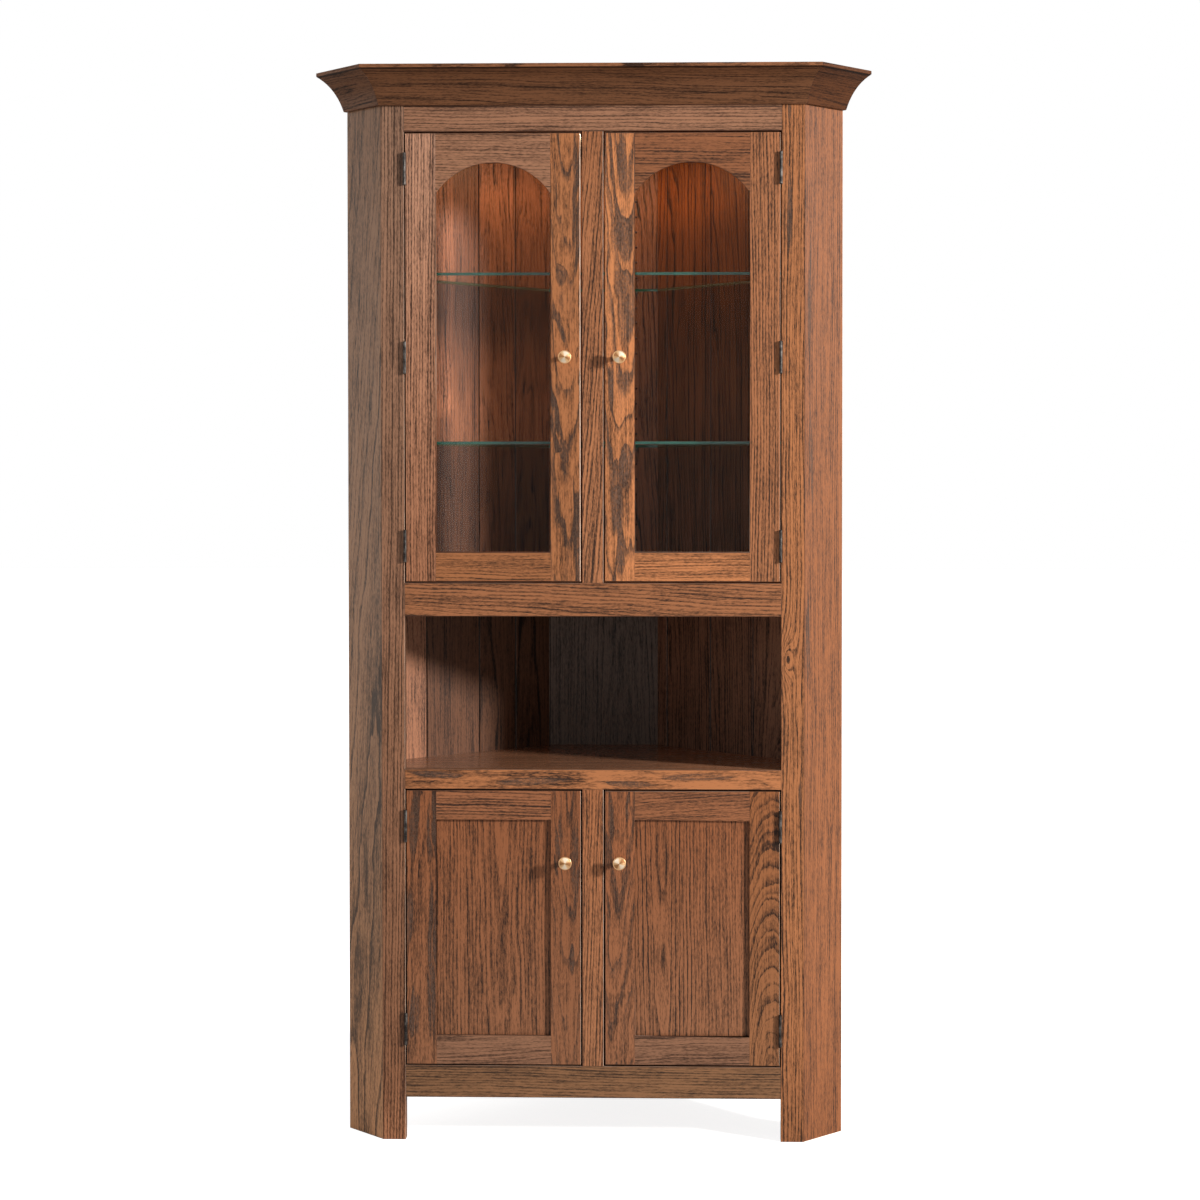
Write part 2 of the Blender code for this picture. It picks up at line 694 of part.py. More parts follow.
def knob_profile():
    """Radius and height of the knob, from the top of its dome down to the door."""
    rim_top = KNOB_PROJECTION - KNOB_DOME_HEIGHT
    rim_bottom = rim_top - KNOB_RIM_HEIGHT
    dome = []
    for step in range(DOME_STEPS + 1):
        share = step / DOME_STEPS
        dome.append((KNOB_RADIUS * share, rim_top + KNOB_DOME_HEIGHT * (1 - share * share)))
    return dome + [
        (KNOB_RADIUS, rim_bottom),
        (KNOB_NECK_RADIUS, rim_bottom - KNOB_UNDERCUT_HEIGHT),
        (KNOB_NECK_RADIUS, rim_bottom - KNOB_UNDERCUT_HEIGHT - KNOB_NECK_HEIGHT),
        (KNOB_BASE_RADIUS, KNOB_BASE_HEIGHT),
        (KNOB_BASE_RADIUS, 0),
        (0, 0),
    ]


def make_knob(door_name, side, level, mesh, pivot, material):
    (left, right), (inner_left, inner_right) = door_span(side)
    x = (right + inner_right) / 2 if side < 0 else (left + inner_left) / 2
    knob = place(f"{door_name}_knob", mesh, material)
    knob.parent = pivot
    knob.location = Vector((x, FACE - SEAM, level)) - pivot.location


def make_pivot(door_name, side, bottom):
    pivot = bpy.data.objects.new(f"{door_name}_pivot", None)
    pivot.location = (side * HINGE_X, HINGE_Y, bottom)
    pivot.empty_display_size = KNOB_RADIUS
    PARTS.objects.link(pivot)
    return pivot


def make_upper_door(side_name, oak, inner_oak, glass, bronze, brass, knob_mesh):
    side = SIDES[side_name]
    name = f"upper_{side_name}_door"
    bottom, top = UPPER_OPENING_BOTTOM + DOOR_GAP, UPPER_OPENING_TOP - DOOR_GAP
    pivot = make_pivot(name, side, bottom)
    frame = make_door_frame(f"{name}_frame", side, bottom, top, UPPER_HINGE_LEVELS, True, oak)
    hang_cut_piece(frame, pivot)
    make_glazing(name, side, bottom, top, pivot, glass, inner_oak)
    make_knob(name, side, (bottom + top) / 2, knob_mesh, pivot, brass)
    make_door_hinges(side_name, name, UPPER_HINGE_LEVELS,
                     ("bottom", "middle", "top"), pivot, bronze)


def make_lower_door(side_name, oak, panel_oak, bronze, brass, knob_mesh):
    side = SIDES[side_name]
    name = f"lower_{side_name}_door"
    bottom, top = BOTTOM_RAIL_TOP + DOOR_GAP, LOWER_OPENING_TOP - DOOR_GAP
    pivot = make_pivot(name, side, bottom)
    frame = make_door_frame(f"{name}_frame", side, bottom, top, LOWER_HINGE_LEVELS, False, oak)
    hang_cut_piece(frame, pivot)
    make_panel(name, side, bottom, top, pivot, panel_oak)
    make_knob(name, side, top - LOWER_KNOB_DROP, knob_mesh, pivot, brass)
    make_door_hinges(side_name, name, LOWER_HINGE_LEVELS, ("bottom", "top"), pivot, bronze)


def hang_cut_piece(item, pivot):
    """Parent a piece whose cutters stay in place: its mesh and its cutters keep their spots."""
    item.parent = pivot
    item.matrix_parent_inverse = Matrix.Translation(-pivot.location)


def make_knob_mesh():
    mesh = turned_mesh("knob", knob_profile(), KNOB_STEPS)
    mesh.transform(Matrix.Rotation(math.radians(90), 4, "X"))
    return mesh


def build_cabinet():
    oak = new_material("stained_oak", (0.165, 0.062, 0.026), 0.42)
    rail_oak = new_material("stained_oak_rail", (0.150, 0.058, 0.026), 0.42)
    inner_oak = new_material("inner_oak", (0.085, 0.032, 0.015), 0.50)
    crown_oak = new_material("crown_oak", (0.120, 0.046, 0.021), 0.42)
    glass = new_material("clear_glass", (0.90, 0.95, 0.92), 0.05, alpha=0.3)
    bronze = new_material("dark_bronze", (0.045, 0.036, 0.030), 0.45, 0.9)
    brass = new_material("satin_brass", (0.70, 0.52, 0.30), 0.30, 1.0)
    lamp_white = new_material("lamp_white", (0.85, 0.83, 0.78), 0.40)
    catch_brown = new_material("catch_brown", (0.12, 0.07, 0.04), 0.50)

    for side_name in SIDES:
        make_stile(side_name, oak)
        make_return(side_name, oak)
    make_rail("bottom_rail", FOOT_HEIGHT, BOTTOM_RAIL_TOP, rail_oak)
    make_rail("counter_rail", LOWER_OPENING_TOP, COUNTER_TOP, rail_oak)
    make_rail("middle_rail", NICHE_TOP, UPPER_OPENING_BOTTOM, rail_oak)
    make_rail("top_rail", UPPER_OPENING_TOP, BODY_TOP, rail_oak)
    make_mullion("lower_mullion", BOTTOM_RAIL_TOP, LOWER_OPENING_TOP, oak)
    make_mullion("upper_mullion", UPPER_OPENING_BOTTOM, UPPER_OPENING_TOP, oak)

    make_back_boards("left", LEFT_JOINT_SHARES, inner_oak)
    make_back_boards("right", RIGHT_JOINT_SHARES, inner_oak)
    make_rear_panel(inner_oak)
    make_floor("lower_floor", BOTTOM_RAIL_TOP, inner_oak)
    make_floor("counter_deck", COUNTER_TOP, inner_oak)
    make_floor("upper_floor", UPPER_OPENING_BOTTOM, inner_oak)
    make_floor("top_panel", CEILING + PANEL_THICKNESS, inner_oak)
    make_shelf("upper_glass_shelf", UPPER_SHELF_LEVEL, GLASS_SHELF_THICKNESS,
               GLASS_SHELF_SETBACK, glass)
    make_shelf("lower_glass_shelf", LOWER_SHELF_LEVEL, GLASS_SHELF_THICKNESS,
               GLASS_SHELF_SETBACK, glass)
    make_shelf("wooden_shelf", WOODEN_SHELF_LEVEL, WOODEN_SHELF_THICKNESS,
               WOODEN_SHELF_SETBACK, inner_oak)
    make_crown(crown_oak)
    make_lamp(lamp_white)
    make_catch("upper_door_catch", UPPER_OPENING_TOP, catch_brown)
    make_catch("lower_door_catch", LOWER_OPENING_TOP, catch_brown)

    knob_mesh = make_knob_mesh()
    for side_name in SIDES:
        make_upper_door(side_name, oak, inner_oak, glass, bronze, brass, knob_mesh)
        make_lower_door(side_name, oak, inner_oak, bronze, brass, knob_mesh)


build_cabinet()
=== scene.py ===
"""Looks of a corner china cabinet in brown stained oak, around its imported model.

Metres, +Z up. The face frame looks along -Y. Each oak member is a welded copy of its CAD
node with eased arrises, and each door frame is parted into its two stiles and two rails.
"""
import json
import math
from dataclasses import dataclass

import bmesh
import bpy
from mathutils import Matrix, Vector


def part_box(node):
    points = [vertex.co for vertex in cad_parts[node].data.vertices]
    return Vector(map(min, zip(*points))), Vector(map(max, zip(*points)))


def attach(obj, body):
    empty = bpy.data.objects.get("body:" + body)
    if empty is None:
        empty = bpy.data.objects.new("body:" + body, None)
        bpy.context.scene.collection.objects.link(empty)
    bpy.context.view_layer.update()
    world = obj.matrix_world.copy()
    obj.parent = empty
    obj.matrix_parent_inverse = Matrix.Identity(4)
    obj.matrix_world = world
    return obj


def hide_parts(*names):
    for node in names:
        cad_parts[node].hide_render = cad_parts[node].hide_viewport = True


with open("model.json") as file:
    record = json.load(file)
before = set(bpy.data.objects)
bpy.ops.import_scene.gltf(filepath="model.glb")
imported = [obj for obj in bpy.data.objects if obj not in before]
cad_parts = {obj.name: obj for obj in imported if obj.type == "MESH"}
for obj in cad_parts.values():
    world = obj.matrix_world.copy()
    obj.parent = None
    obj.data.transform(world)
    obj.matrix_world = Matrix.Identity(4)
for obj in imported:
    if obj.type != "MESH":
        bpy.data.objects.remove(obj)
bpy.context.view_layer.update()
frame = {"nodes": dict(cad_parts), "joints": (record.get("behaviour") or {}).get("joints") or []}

bpy.ops.object.select_all(action="DESELECT")

# Easing of arrises and of flush joints between glued members
ARRIS = 0.0012
JOINT_LINE = 0.00022
GLASS_ARRIS = 0.0005
SHARP_ANGLE = math.radians(30)
WELD = 0.00001
# Half width of the painted shadow in each groove between boards
GROOVE_SHADOW = 0.0012
# Painted shade on the edges behind a face
REVEAL_SHADE = 0.45
OUTER_SHADE = 0.85
# Painted shade in the peg holes
HOLE_SHADE = 0.85
FILLET = 0.0078

# The lining's boards: |x| + y on their inner faces, and their thickness
WALL_SUM = 0.358132
BOARD_THICKNESS = 0.0127

# How near a point lies to a line that it is on
ON_LINE = 0.0005

# Directions of the case
DIAGONAL = math.sqrt(0.5)
SIDES = {"left": -1, "right": 1}
ACROSS, DEEP, UP = Vector((1, 0, 0)), Vector((0, 1, 0)), Vector((0, 0, 1))

# Hardware
KNUCKLE_RADIUS = 0.0030
KNUCKLE_COUNT = 5
KNUCKLE_GAP = 0.00025
CAP_RADIUS = 0.0033
CAP_HEIGHT = 0.0012
LEAF_THICKNESS = 0.0018
LEAF_CLEARANCE = 0.0002
HINGE_HEIGHT = 0.060
KNUCKLE_RIM = 0.0003
SCREW_RADIUS = 0.0026
SCREW_HEIGHT = 0.00015
SCREW_LEVELS = ((0.2, 0.0105), (0.5, 0.0055), (0.8, 0.0105))
PIN_RADIUS = 0.00276
PIN_REACH = 0.0093
PIN_COLLAR_RADIUS = 0.0042
PIN_COLLAR = 0.0010
PEG_RADIUS = 0.0025
SEAM = 0.0003
REAR_PIN_X = 0.0691
REAR_PIN_GAP = 0.0015
WALL_PIN_SPOT = (0.420708, -0.062576)
STRIKE_RADIUS = 0.0045
STRIKE_INSET = 0.0075


# ---------------- shading

def paint(red, green, blue):
    """A colour on a scale of 255, as the eye reads it, made linear for a shader."""
    def linear(value):
        share = value / 255
        return share / 12.92 if share <= 0.04045 else ((share + 0.055) / 1.055) ** 2.4
    return linear(red), linear(green), linear(blue), 1.0


class Wire:
    """A socket's value in a finish, so that its maths reads as a plain expression.

    It takes +, -, *, /, **, > and <, given to it below.
    """

    def __init__(self, finish, socket):
        self.finish = finish
        self.socket = socket

    def maths(self, operation, *terms):
        return self.finish.node("Math", {"operation": operation}, dict(enumerate(terms)))

    def whole(self):
        return self.maths("FLOOR", self)

    def least(self, other):
        return self.maths("MINIMUM", self, other)

    def most(self, other):
        return self.maths("MAXIMUM", self, other)

    def within(self, low, high):
        """0 below low and 1 above high, with a soft step between them."""
        return self.finish.node("MapRange", {"interpolation_type": "SMOOTHSTEP"}, {
            "Value": self, "From Min": low, "From Max": high})


def give_operator(name, operation, swapped=False):
    def operator(self, other):
        return self.maths(operation, *((other, self) if swapped else (self, other)))
    setattr(Wire, name, operator)


for name, operation in {"add": "ADD", "sub": "SUBTRACT", "mul": "MULTIPLY",
                        "truediv": "DIVIDE"}.items():
    give_operator(f"__{name}__", operation)
    give_operator(f"__r{name}__", operation, swapped=True)
for name, operation in {"pow": "POWER", "gt": "GREATER_THAN", "lt": "LESS_THAN"}.items():
    give_operator(f"__{name}__", operation)


class Finish:
    """One material, its nodes made by name around a Principled shader."""

    def __init__(self, name, **sockets):
        self.material = bpy.data.materials.new(name)
        self.material.use_nodes = True
        self.tree = self.material.node_tree
        self.shader = self.tree.nodes["Principled BSDF"]
        self.set(**sockets)

    def feed(self, socket, value):
        if isinstance(value, Wire):
            self.tree.links.new(value.socket, socket)
        else:
            socket.default_value = value

    def set(self, **sockets):
        for name, value in sockets.items():
            self.feed(self.shader.inputs[name.replace("_", " ")], value)

    def node(self, kind, settings=None, values=None, output=0):
        node = self.tree.nodes.new("ShaderNode" + kind)
        for name, value in (settings or {}).items():
            if name == "stops":
                self.lay_stops(node.color_ramp, value)
            else:
                setattr(node, name, value)
        for key, value in (values or {}).items():
            self.feed(node.inputs[key], value)
        return Wire(self, node.outputs[output])

    def lay_stops(self, ramp, stops):
        while len(ramp.elements) < len(stops):
            ramp.elements.new(0.5)
        for element, (spot, level) in zip(ramp.elements, stops):
            element.position = spot
            element.color = (level, level, level, 1)

    def place(self):
        return self.node("TexCoord", output=3)

    def in_board(self, centre, across, along):
        """Coordinates in a board: across its face, into it, and along its grain."""
        depth = along.cross(across)
        turn = Matrix((across, depth, along)).transposed().to_euler()
        return self.node("Mapping", {"vector_type": "TEXTURE"}, {
            "Vector": self.place(), "Location": centre, "Rotation": turn})

    def part(self, vector, axis):
        return self.node("SeparateXYZ", None, {0: vector}, axis)

    def noise(self, vector, scale, seed, detail=2.0, roughness=0.5):
        moved = self.node("Mapping", None, {
            "Vector": vector, "Location": (seed, seed * 1.7, seed * 0.6), "Scale": scale})
        return self.node("TexNoise", None, {
            "Vector": moved, "Scale": 1.0, "Detail": detail, "Roughness": roughness})

    def chance(self, value):
        """One random number for each whole number."""
        return self.node("TexWhiteNoise", {"noise_dimensions": "1D"}, {"W": value})

    def along(self, value, seed):
        """Soft chance along one number."""
        return self.node("TexNoise", {"noise_dimensions": "1D"}, {
            "W": value + seed, "Scale": 1.0, "Detail": 1.0, "Roughness": 0.6})

    def blend(self, factor, first, second):
        return self.node("Mix", {"data_type": "RGBA"}, {0: factor, 6: first, 7: second}, 2)

    def tint(self, color, red, green, blue):
        """A colour whose parts are each made lighter or darker by a number that varies."""
        share = self.node("CombineColor", None, {0: red, 1: green, 2: blue})
        return self.node("Mix", {"data_type": "RGBA", "blend_type": "MULTIPLY"},
                         {0: 1.0, 6: color, 7: share}, 2)

    def dim(self, color, level):
        return self.tint(color, level, level, level)

    def bump(self, height, distance, strength):
        return self.node("Bump", None, {
            "Height": height, "Distance": distance, "Strength": strength})


# Stain tones: late wood, and the open pores of early wood
TONES = {tone: (paint(*late), paint(*pores)) for tone, (late, pores) in {
    "warm": ((202, 131, 84), (62, 40, 28)),
    "plain": ((184, 120, 80), (60, 39, 28)),
    "rosy": ((198, 141, 109), (72, 46, 34)),
    "dusky": ((170, 109, 73), (54, 36, 27)),
    "greyed": ((146, 104, 72), (58, 42, 31)),
    "faded": ((170, 122, 93), (76, 51, 38)),
    "sunny": ((168, 104, 64), (70, 44, 31)),
    "inner": ((150, 94, 63), (40, 24, 17)),
    "dusk": ((150, 103, 77), (40, 27, 22)),
    "slate": ((124, 104, 91), (46, 37, 33)),
    "deck": ((150, 104, 76), (74, 50, 38)),
    "crown": ((120, 79, 53), (42, 27, 19)),
}.items()}
PORE_DUST = paint(105, 81, 68)


@dataclass
class Figure:
    """How one board was cut from its log, and what shows on its face.

    heart is the middle of the log, across the face and behind it, and lean is how far the
    heart drifts, across and away, along each metre. ring is the width of a year. wave is
    how many years the rings sway, and even is how alike the years are. flames are dark
    patches of pores, each with its place across and along the board, half width, half
    length, slant and how many years the rings bend round it. knots are the same, with no
    dark patch. fall is how much lighter the board is at the head than at the foot, and cool
    how much greyer it is at the foot. glow is painted lamp light: how much lighter the inside
    face is close to the head. below is the tone of the board under a floor, a greyer tone
    painted as the shade of the compartment there. dusty is how pale the pores are outside
    the flames. foot is painted light: how much lighter the foot is, where a lift below nought
    paints shade, and the two levels, in shares of the reach, between which that ends.
    """

    tone: str
    heart: tuple
    lean: tuple = (0.0, 0.0)
    ring: float = 0.005
    contrast: float = 0.8
    seed: float = 0.0
    wave: float = 0.5
    shade: float = 1.0
    flames: tuple = ()
    even: float = 0.3
    knots: tuple = ()
    fall: float = 0.0
    cool: float = 0.0
    glow: float = 0.0
    below: str = None
    dusty: float = 0.0
    foot: tuple = None


def oak(name, figure, centre, across, along, boards=(), floor=0.0, reach=1.0, sheen=0.40,
        reveal=0.0, gloss=0.22, shelves=(), lining=None, pool=None):
    """Stained oak for a board whose face is at centre.

    boards are narrower boards laid side by side, each with the edge where it starts and its
    painted light and shade above and below the floor, with a painted shadow in the groove at
    each edge. reach is half the length of the board. reveal is how much painted shade darkens
    the edges behind the face. lining is where the inner and the outer face of a wall's boards
    lie, and what is meant for the inside stays off the outer face; deeper than the inner face,
    in the peg holes, the wood is darkened with painted shade. shelves are heights with the
    painted light above each, the painted shade below it and how far down that reaches. pool
    is a painted patch of light: its left, right, low and high edges and its lift.
    """
    finish = Finish(name)
    seed = figure.seed
    local = finish.in_board(centre, across, along)
    over, into, length = (finish.part(local, axis) for axis in range(3))
    shade = figure.shade
    if reveal:
        # Painted shade on the edges behind the face
        shade = (1.0 - into.within(0.0012, 0.0040) * reveal) * shade
    inside = 1.0
    if lining:
        face, back = lining
        inside = 1.0 - into.within(back - 0.002, back - 0.001)
        # Painted shade in the peg holes, deeper than the inner face
        shade = (1.0 - into.within(face + 0.0004, face + 0.0016) * inside * HOLE_SHADE) * shade
    storey = 1.0 - (length < floor) * inside
    if pool:
        # Painted light: a lighter patch on the inside face
        left, right, low, high, lift = pool
        lit = (over.within(left - 0.002, left)
               * (1.0 - over.within(right - 0.012, right + 0.012))
               * length.within(low - 0.02, low + 0.02)
               * (1.0 - length.within(high - 0.04, high + 0.04)))
        shade = (lit * inside * lift + 1.0) * shade
    if boards:
        start = over
        board = 0.0
        groove = 0.0
        shift, above, below = boards[0]
        for last, (edge, edge_above, edge_below) in zip(boards, boards[1:]):
            step = start > edge
            board = step + board
            shift = step * (edge - last[0]) + shift
            above = step * (edge_above - last[1]) + above
            below = step * (edge_below - last[2]) + below
            # Painted shadow in the groove at each edge
            groove = finish.node("Math", {"operation": "COMPARE"}, {
                0: start, 1: edge, 2: GROOVE_SHADOW}) + groove
        luck = finish.chance(board + seed)
        over = over - shift + (luck - 0.5) * 0.12
        # Painted light and shade of each board, above and below the floor
        shade = (below + storey * (above - below)) * shade * (1.0 - groove * 0.75)
        if lining:
            shade = (shade - OUTER_SHADE) * inside + OUTER_SHADE
        local = finish.node("CombineXYZ", None, {0: over + luck * 2.0, 1: into,
                                                 2: length + luck * 3.0})

    drift = finish.noise(local, (7, 7, 1.3), seed, 1.0) - 0.5
    sway = finish.noise(local, (24, 24, 5.5), seed + 5.1, 2.0) - 0.5
    streak = finish.noise(local, (190, 190, 8), seed + 6.6, 2.0, 0.6) - 0.5
    from_heart = over - figure.heart[0] - length * figure.lean[0] + drift * 0.026
    behind = figure.heart[1] + length * figure.lean[1] - into + sway * 0.006
    radius = (from_heart * from_heart + behind * behind) ** 0.5
    years = radius / figure.ring + sway * figure.wave * 2.0 + drift * 1.3 + streak * 0.35
    flame = 0.0
    for place, level, half_width, half_length, slant, bend in figure.flames:
        along_flame = (length - level) / half_length
        over_flame = (over - place - (length - level) * slant) / half_width
        spread = over_flame * over_flame + along_flame * along_flame
        years = years + bend / (1.0 + spread)
        flame = (1.0 - spread * 0.50).within(0.0, 0.8).most(flame)
    for place, level, half_width, half_length, slant, bend in figure.knots:
        along_knot = (length - level) / half_length
        over_knot = (over - place - (length - level) * slant) / half_width
        years = years + bend / (1.0 + over_knot * over_knot + along_knot * along_knot)
    year = years.whole()
    season = years - year
    boldness = finish.chance(year + seed)
    boldness = figure.even + (1.25 - figure.even) * boldness * boldness
    early = finish.node("ValToRGB", {"stops": (
        (0.0, 0.5), (0.06, 1.0), (0.94, 0.0), (1.0, 0.5))}, {0: season})
    width = boldness * (figure.contrast * 0.55) + flame * 0.70 + streak * 0.6
    bands = (early + width - 1.0).within(-0.16, 0.36)
    fibres = finish.noise(local, (310, 310, 8), seed + 2.3, 3.0, 0.62) - 0.5
    specks = finish.noise(local, (470, 470, 110), seed + 3.9, 2.0, 0.7) - 0.5
    pores = finish.noise(local, (760, 760, 55), seed + 7.7, 1.0).within(0.54, 0.68)
    cloud = finish.noise(local, (9, 9, 1.6), seed + 8.2, 2.0)
    lines = finish.along(years * 2.7, seed) - 0.5
    decades = finish.along(years * 0.33, seed + 4.0) - 0.5
    smoke = finish.noise(local, (75, 75, 11), seed + 9.4, 3.0, 0.6) - 0.5
    dark = (bands * 0.60 + lines * 0.9 + decades * 0.7 + smoke * 1.1 + fibres * 1.7
            + specks * 1.9 + pores * 0.18 + 0.18)
    dark = dark.most(0.0).least(1.0)
    light_tone, dark_tone = TONES[figure.tone]
    if figure.below:
        # Painted shade: a greyer tone under the floor
        light_tone = finish.blend(storey, TONES[figure.below][0], light_tone)
        dark_tone = finish.blend(storey, TONES[figure.below][1], dark_tone)
    color = finish.blend(dark, light_tone, dark_tone)
    if figure.flames or figure.dusty:
        flecks = finish.noise(local, (480, 480, 300), seed + 1.8, 2.0, 0.7) - 0.5
        dusty = flame.most(figure.dusty) if figure.flames else figure.dusty
        dust = (bands * dusty * (0.50 + flecks * 3.2)).most(0.0).least(0.9)
        color = finish.blend(dust, color, PORE_DUST)
    level = (0.86 + cloud * 0.28) * shade
    if figure.foot:
        # Painted light at the foot; a lift below nought paints shade
        lift, low, high = figure.foot
        level = level * (1.0 + (1.0 - length.within(low * reach, high * reach)) * lift)
    if figure.glow:
        # Painted lamp light near the head
        level = level * (1.0 + length.within(0.71 * reach, 0.83 * reach) * inside * figure.glow)
    for height, lift, drop, fade in shelves:
        # Painted light above each shelf and painted shade below it
        rise = length - height
        over_shelf = rise.within(-0.002, 0.002)
        near = 1.0 - rise.within(0.06, 0.14)
        under = 1.0 - (rise * -1.0).within(0.3 * fade, fade)
        level = level * (1.0 + over_shelf * near * inside * lift)
        level = level * (1.0 - (1.0 - over_shelf) * under * inside * drop)
    if figure.fall or figure.cool:
        rise = length / reach * inside
        level = level * (1.0 + rise * figure.fall)
        color = finish.tint(color, level, level * (1.0 - rise * (0.5 * figure.cool)),
                            level * (1.0 - rise * figure.cool))
    else:
        color = finish.dim(color, level)
    height = (1.0 - dark) * 0.6 - pores * 0.5 + specks * 0.4
    finish.set(Base_Color=color, Specular_IOR_Level=gloss,
               Roughness=sheen + dark * 0.12 + pores * 0.10,
               Normal=finish.bump(height, 0.0005, 0.35))
    return finish.material


def arris_painted_highlight():
    """A painted highlight on the arrises that face right or up; the others keep the dark stain."""
    finish = Finish("oak_arris", Specular_IOR_Level=0.2)
    mottle = finish.noise(finish.place(), (24, 24, 24), 4.4, 3.0)
    normal = finish.node("NewGeometry", output=1)
    sideways = finish.part(normal, 0)
    upward = finish.part(normal, 2)
    # Painted highlight on the arrises that face the light from the right, weaker on those facing
    # up
    painted_highlight = sideways.within(0.20, 0.50).most(upward.within(0.3, 0.9) * 0.45)
    pale = finish.blend(mottle.within(0.35, 0.65), paint(204, 166, 140), paint(232, 204, 182))
    finish.set(Base_Color=finish.blend(painted_highlight, paint(84, 54, 40), pale), Roughness=0.5 + mottle * 0.1)
    return finish.material


def dark_joint():
    """Stain gathered in the fine line where two members meet."""
    finish = Finish("oak_joint")
    pooled = finish.noise(finish.place(), (60, 60, 60), 6.1, 2.0)
    finish.set(Base_Color=finish.blend(pooled, paint(70, 45, 32), paint(112, 74, 54)),
               Roughness=0.6)
    return finish.material


def pane_glass():
    """Clear float glass, seen only by its faint reflections."""
    finish = Finish("pane_glass", Base_Color=paint(235, 240, 238), Metallic=1.0, Roughness=0.03)
    mirror = finish.node("LayerWeight", None, {"Blend": 0.35}, 0)
    finish.set(Alpha=mirror * 0.10)
    return finish.material


def shelf_glass():
    """Plate glass: clear on its faces, green and bright at its front edge, and its other cut edges
    painted brown, for the wood seen through them.
    """
    finish = Finish("shelf_glass", Roughness=0.04)
    normal = finish.node("NewGeometry", output=1)
    facing = finish.part(normal, 1)
    front = (0.0 - facing).within(0.55, 0.85)
    level = finish.part(normal, 2)
    edge = 1.0 - (level * level).within(0.15, 0.6)
    streak = finish.noise(finish.place(), (60, 60, 4), 1.2, 2.0)
    green = finish.blend(streak, paint(22, 66, 56), paint(44, 104, 88))
    # The other edges are painted brown, for the wood seen through them
    color = finish.blend(front, paint(112, 92, 62), green)
    finish.set(Base_Color=color, Alpha=0.05 + edge * 0.22 + front * 0.68)
    return finish.material


def dark_bronze():
    finish = Finish("dark_bronze", Metallic=0.85)
    mottle = finish.noise(finish.place(), (160, 160, 90), 2.0, 3.0)
    color = finish.blend(mottle.within(0.40, 0.75), paint(46, 42, 40), paint(104, 99, 95))
    finish.set(Base_Color=color, Roughness=0.36 + mottle * 0.2,
               Normal=finish.bump(mottle, 0.0002, 0.25))
    return finish.material


def satin_brass(name, centre, slant):
    """Spun brass about a centre, with fine turning marks, and a painted highlight and a painted
    shadow in two sectors of its face.
    """
    finish = Finish(name, Metallic=1.0)
    local = finish.node("Mapping", {"vector_type": "TEXTURE"}, {
        "Vector": finish.place(), "Location": centre, "Rotation": (0.0, slant, 0.0)})
    over, up = (finish.part(local, axis) for axis in (0, 2))
    radius = (over * over + up * up) ** 0.5
    toward = (up * up) / (radius * radius + 0.0000002)
    on_face = 1.0 - radius.within(0.0104, 0.0112)
    brush = finish.noise(finish.place(), (900, 120, 900), 3.0, 2.0)
    # Painted highlight and painted shadow in two sectors of the face
    glint = toward.within(0.45, 0.98) * on_face
    shadow = (1.0 - toward).within(0.60, 0.98) * on_face
    color = finish.blend(shadow, paint(232, 186, 136), paint(172, 120, 78))
    color = finish.blend(glint, color, paint(255, 234, 206))
    finish.set(Base_Color=color, Roughness=0.30 + brush * 0.14,
               Normal=finish.bump(brush, 0.0001, 0.15))
    return finish.material


def plain_metal(name, color, roughness):
    finish = Finish(name, Metallic=1.0)
    grime = finish.noise(finish.place(), (220, 220, 220), 1.5, 2.0)
    finish.set(Base_Color=finish.dim(color, 0.75 + grime * 0.4), Roughness=roughness + grime * 0.1)
    return finish.material


def moulded_plastic(name, color, roughness):
    finish = Finish(name)
    skin = finish.noise(finish.place(), (800, 800, 800), 2.5, 2.0)
    finish.set(Base_Color=finish.dim(color, 0.92 + skin * 0.12), Roughness=roughness + skin * 0.1,
               Normal=finish.bump(skin, 0.0001, 0.3))
    return finish.material


def lamp_lens():
    finish = Finish("lamp_lens", Emission_Strength=1.6)
    frost = finish.noise(finish.place(), (500, 500, 500), 3.5, 2.0)
    finish.set(Base_Color=paint(245, 236, 220), Roughness=0.35 + frost * 0.2,
               Emission_Color=finish.blend(frost, paint(255, 214, 160), paint(255, 232, 196)))
    return finish.material


# ---------------- making pieces

def add_object(name, data):
    thing = bpy.data.objects.new(name, data)
    bpy.context.scene.collection.objects.link(thing)
    return thing


def pick(*pieces):
    bpy.ops.object.select_all(action="DESELECT")
    for piece in pieces:
        piece.select_set(True)
    bpy.context.view_layer.objects.active = pieces[0]


def edit(piece):
    """Start work on a piece's mesh with all of it selected."""
    pick(piece)
    bpy.ops.object.mode_set(mode="EDIT")
    bpy.ops.mesh.select_mode(type="VERT")
    bpy.ops.mesh.select_all(action="SELECT")


def leave():
    bpy.ops.object.mode_set(mode="OBJECT")


def apply_place(piece):
    pick(piece)
    bpy.ops.object.transform_apply(location=True, rotation=True, scale=True)


def weld_copy(node, name):
    """A copy of a CAD node with its loose triangles welded into clean flat faces."""
    mesh = frame["nodes"][node].data.copy()
    mesh.name = name
    mesh.materials.clear()
    piece = add_object(name, mesh)
    edit(piece)
    bpy.ops.mesh.remove_doubles(threshold=WELD)
    bpy.ops.mesh.dissolve_limited(angle_limit=math.radians(0.5))
    leave()
    return piece


def score(piece, point, normal, **settings):
    """Mark a line round a piece, without parting it unless the settings say so."""
    edit(piece)
    bpy.ops.mesh.bisect(plane_co=point, plane_no=normal, **settings)
    leave()


def cut(piece, point, normal, keep_front):
    """Saw a piece through and keep the part on one side of the saw."""
    score(piece, point, normal, use_fill=True, clear_inner=keep_front,
          clear_outer=not keep_front)


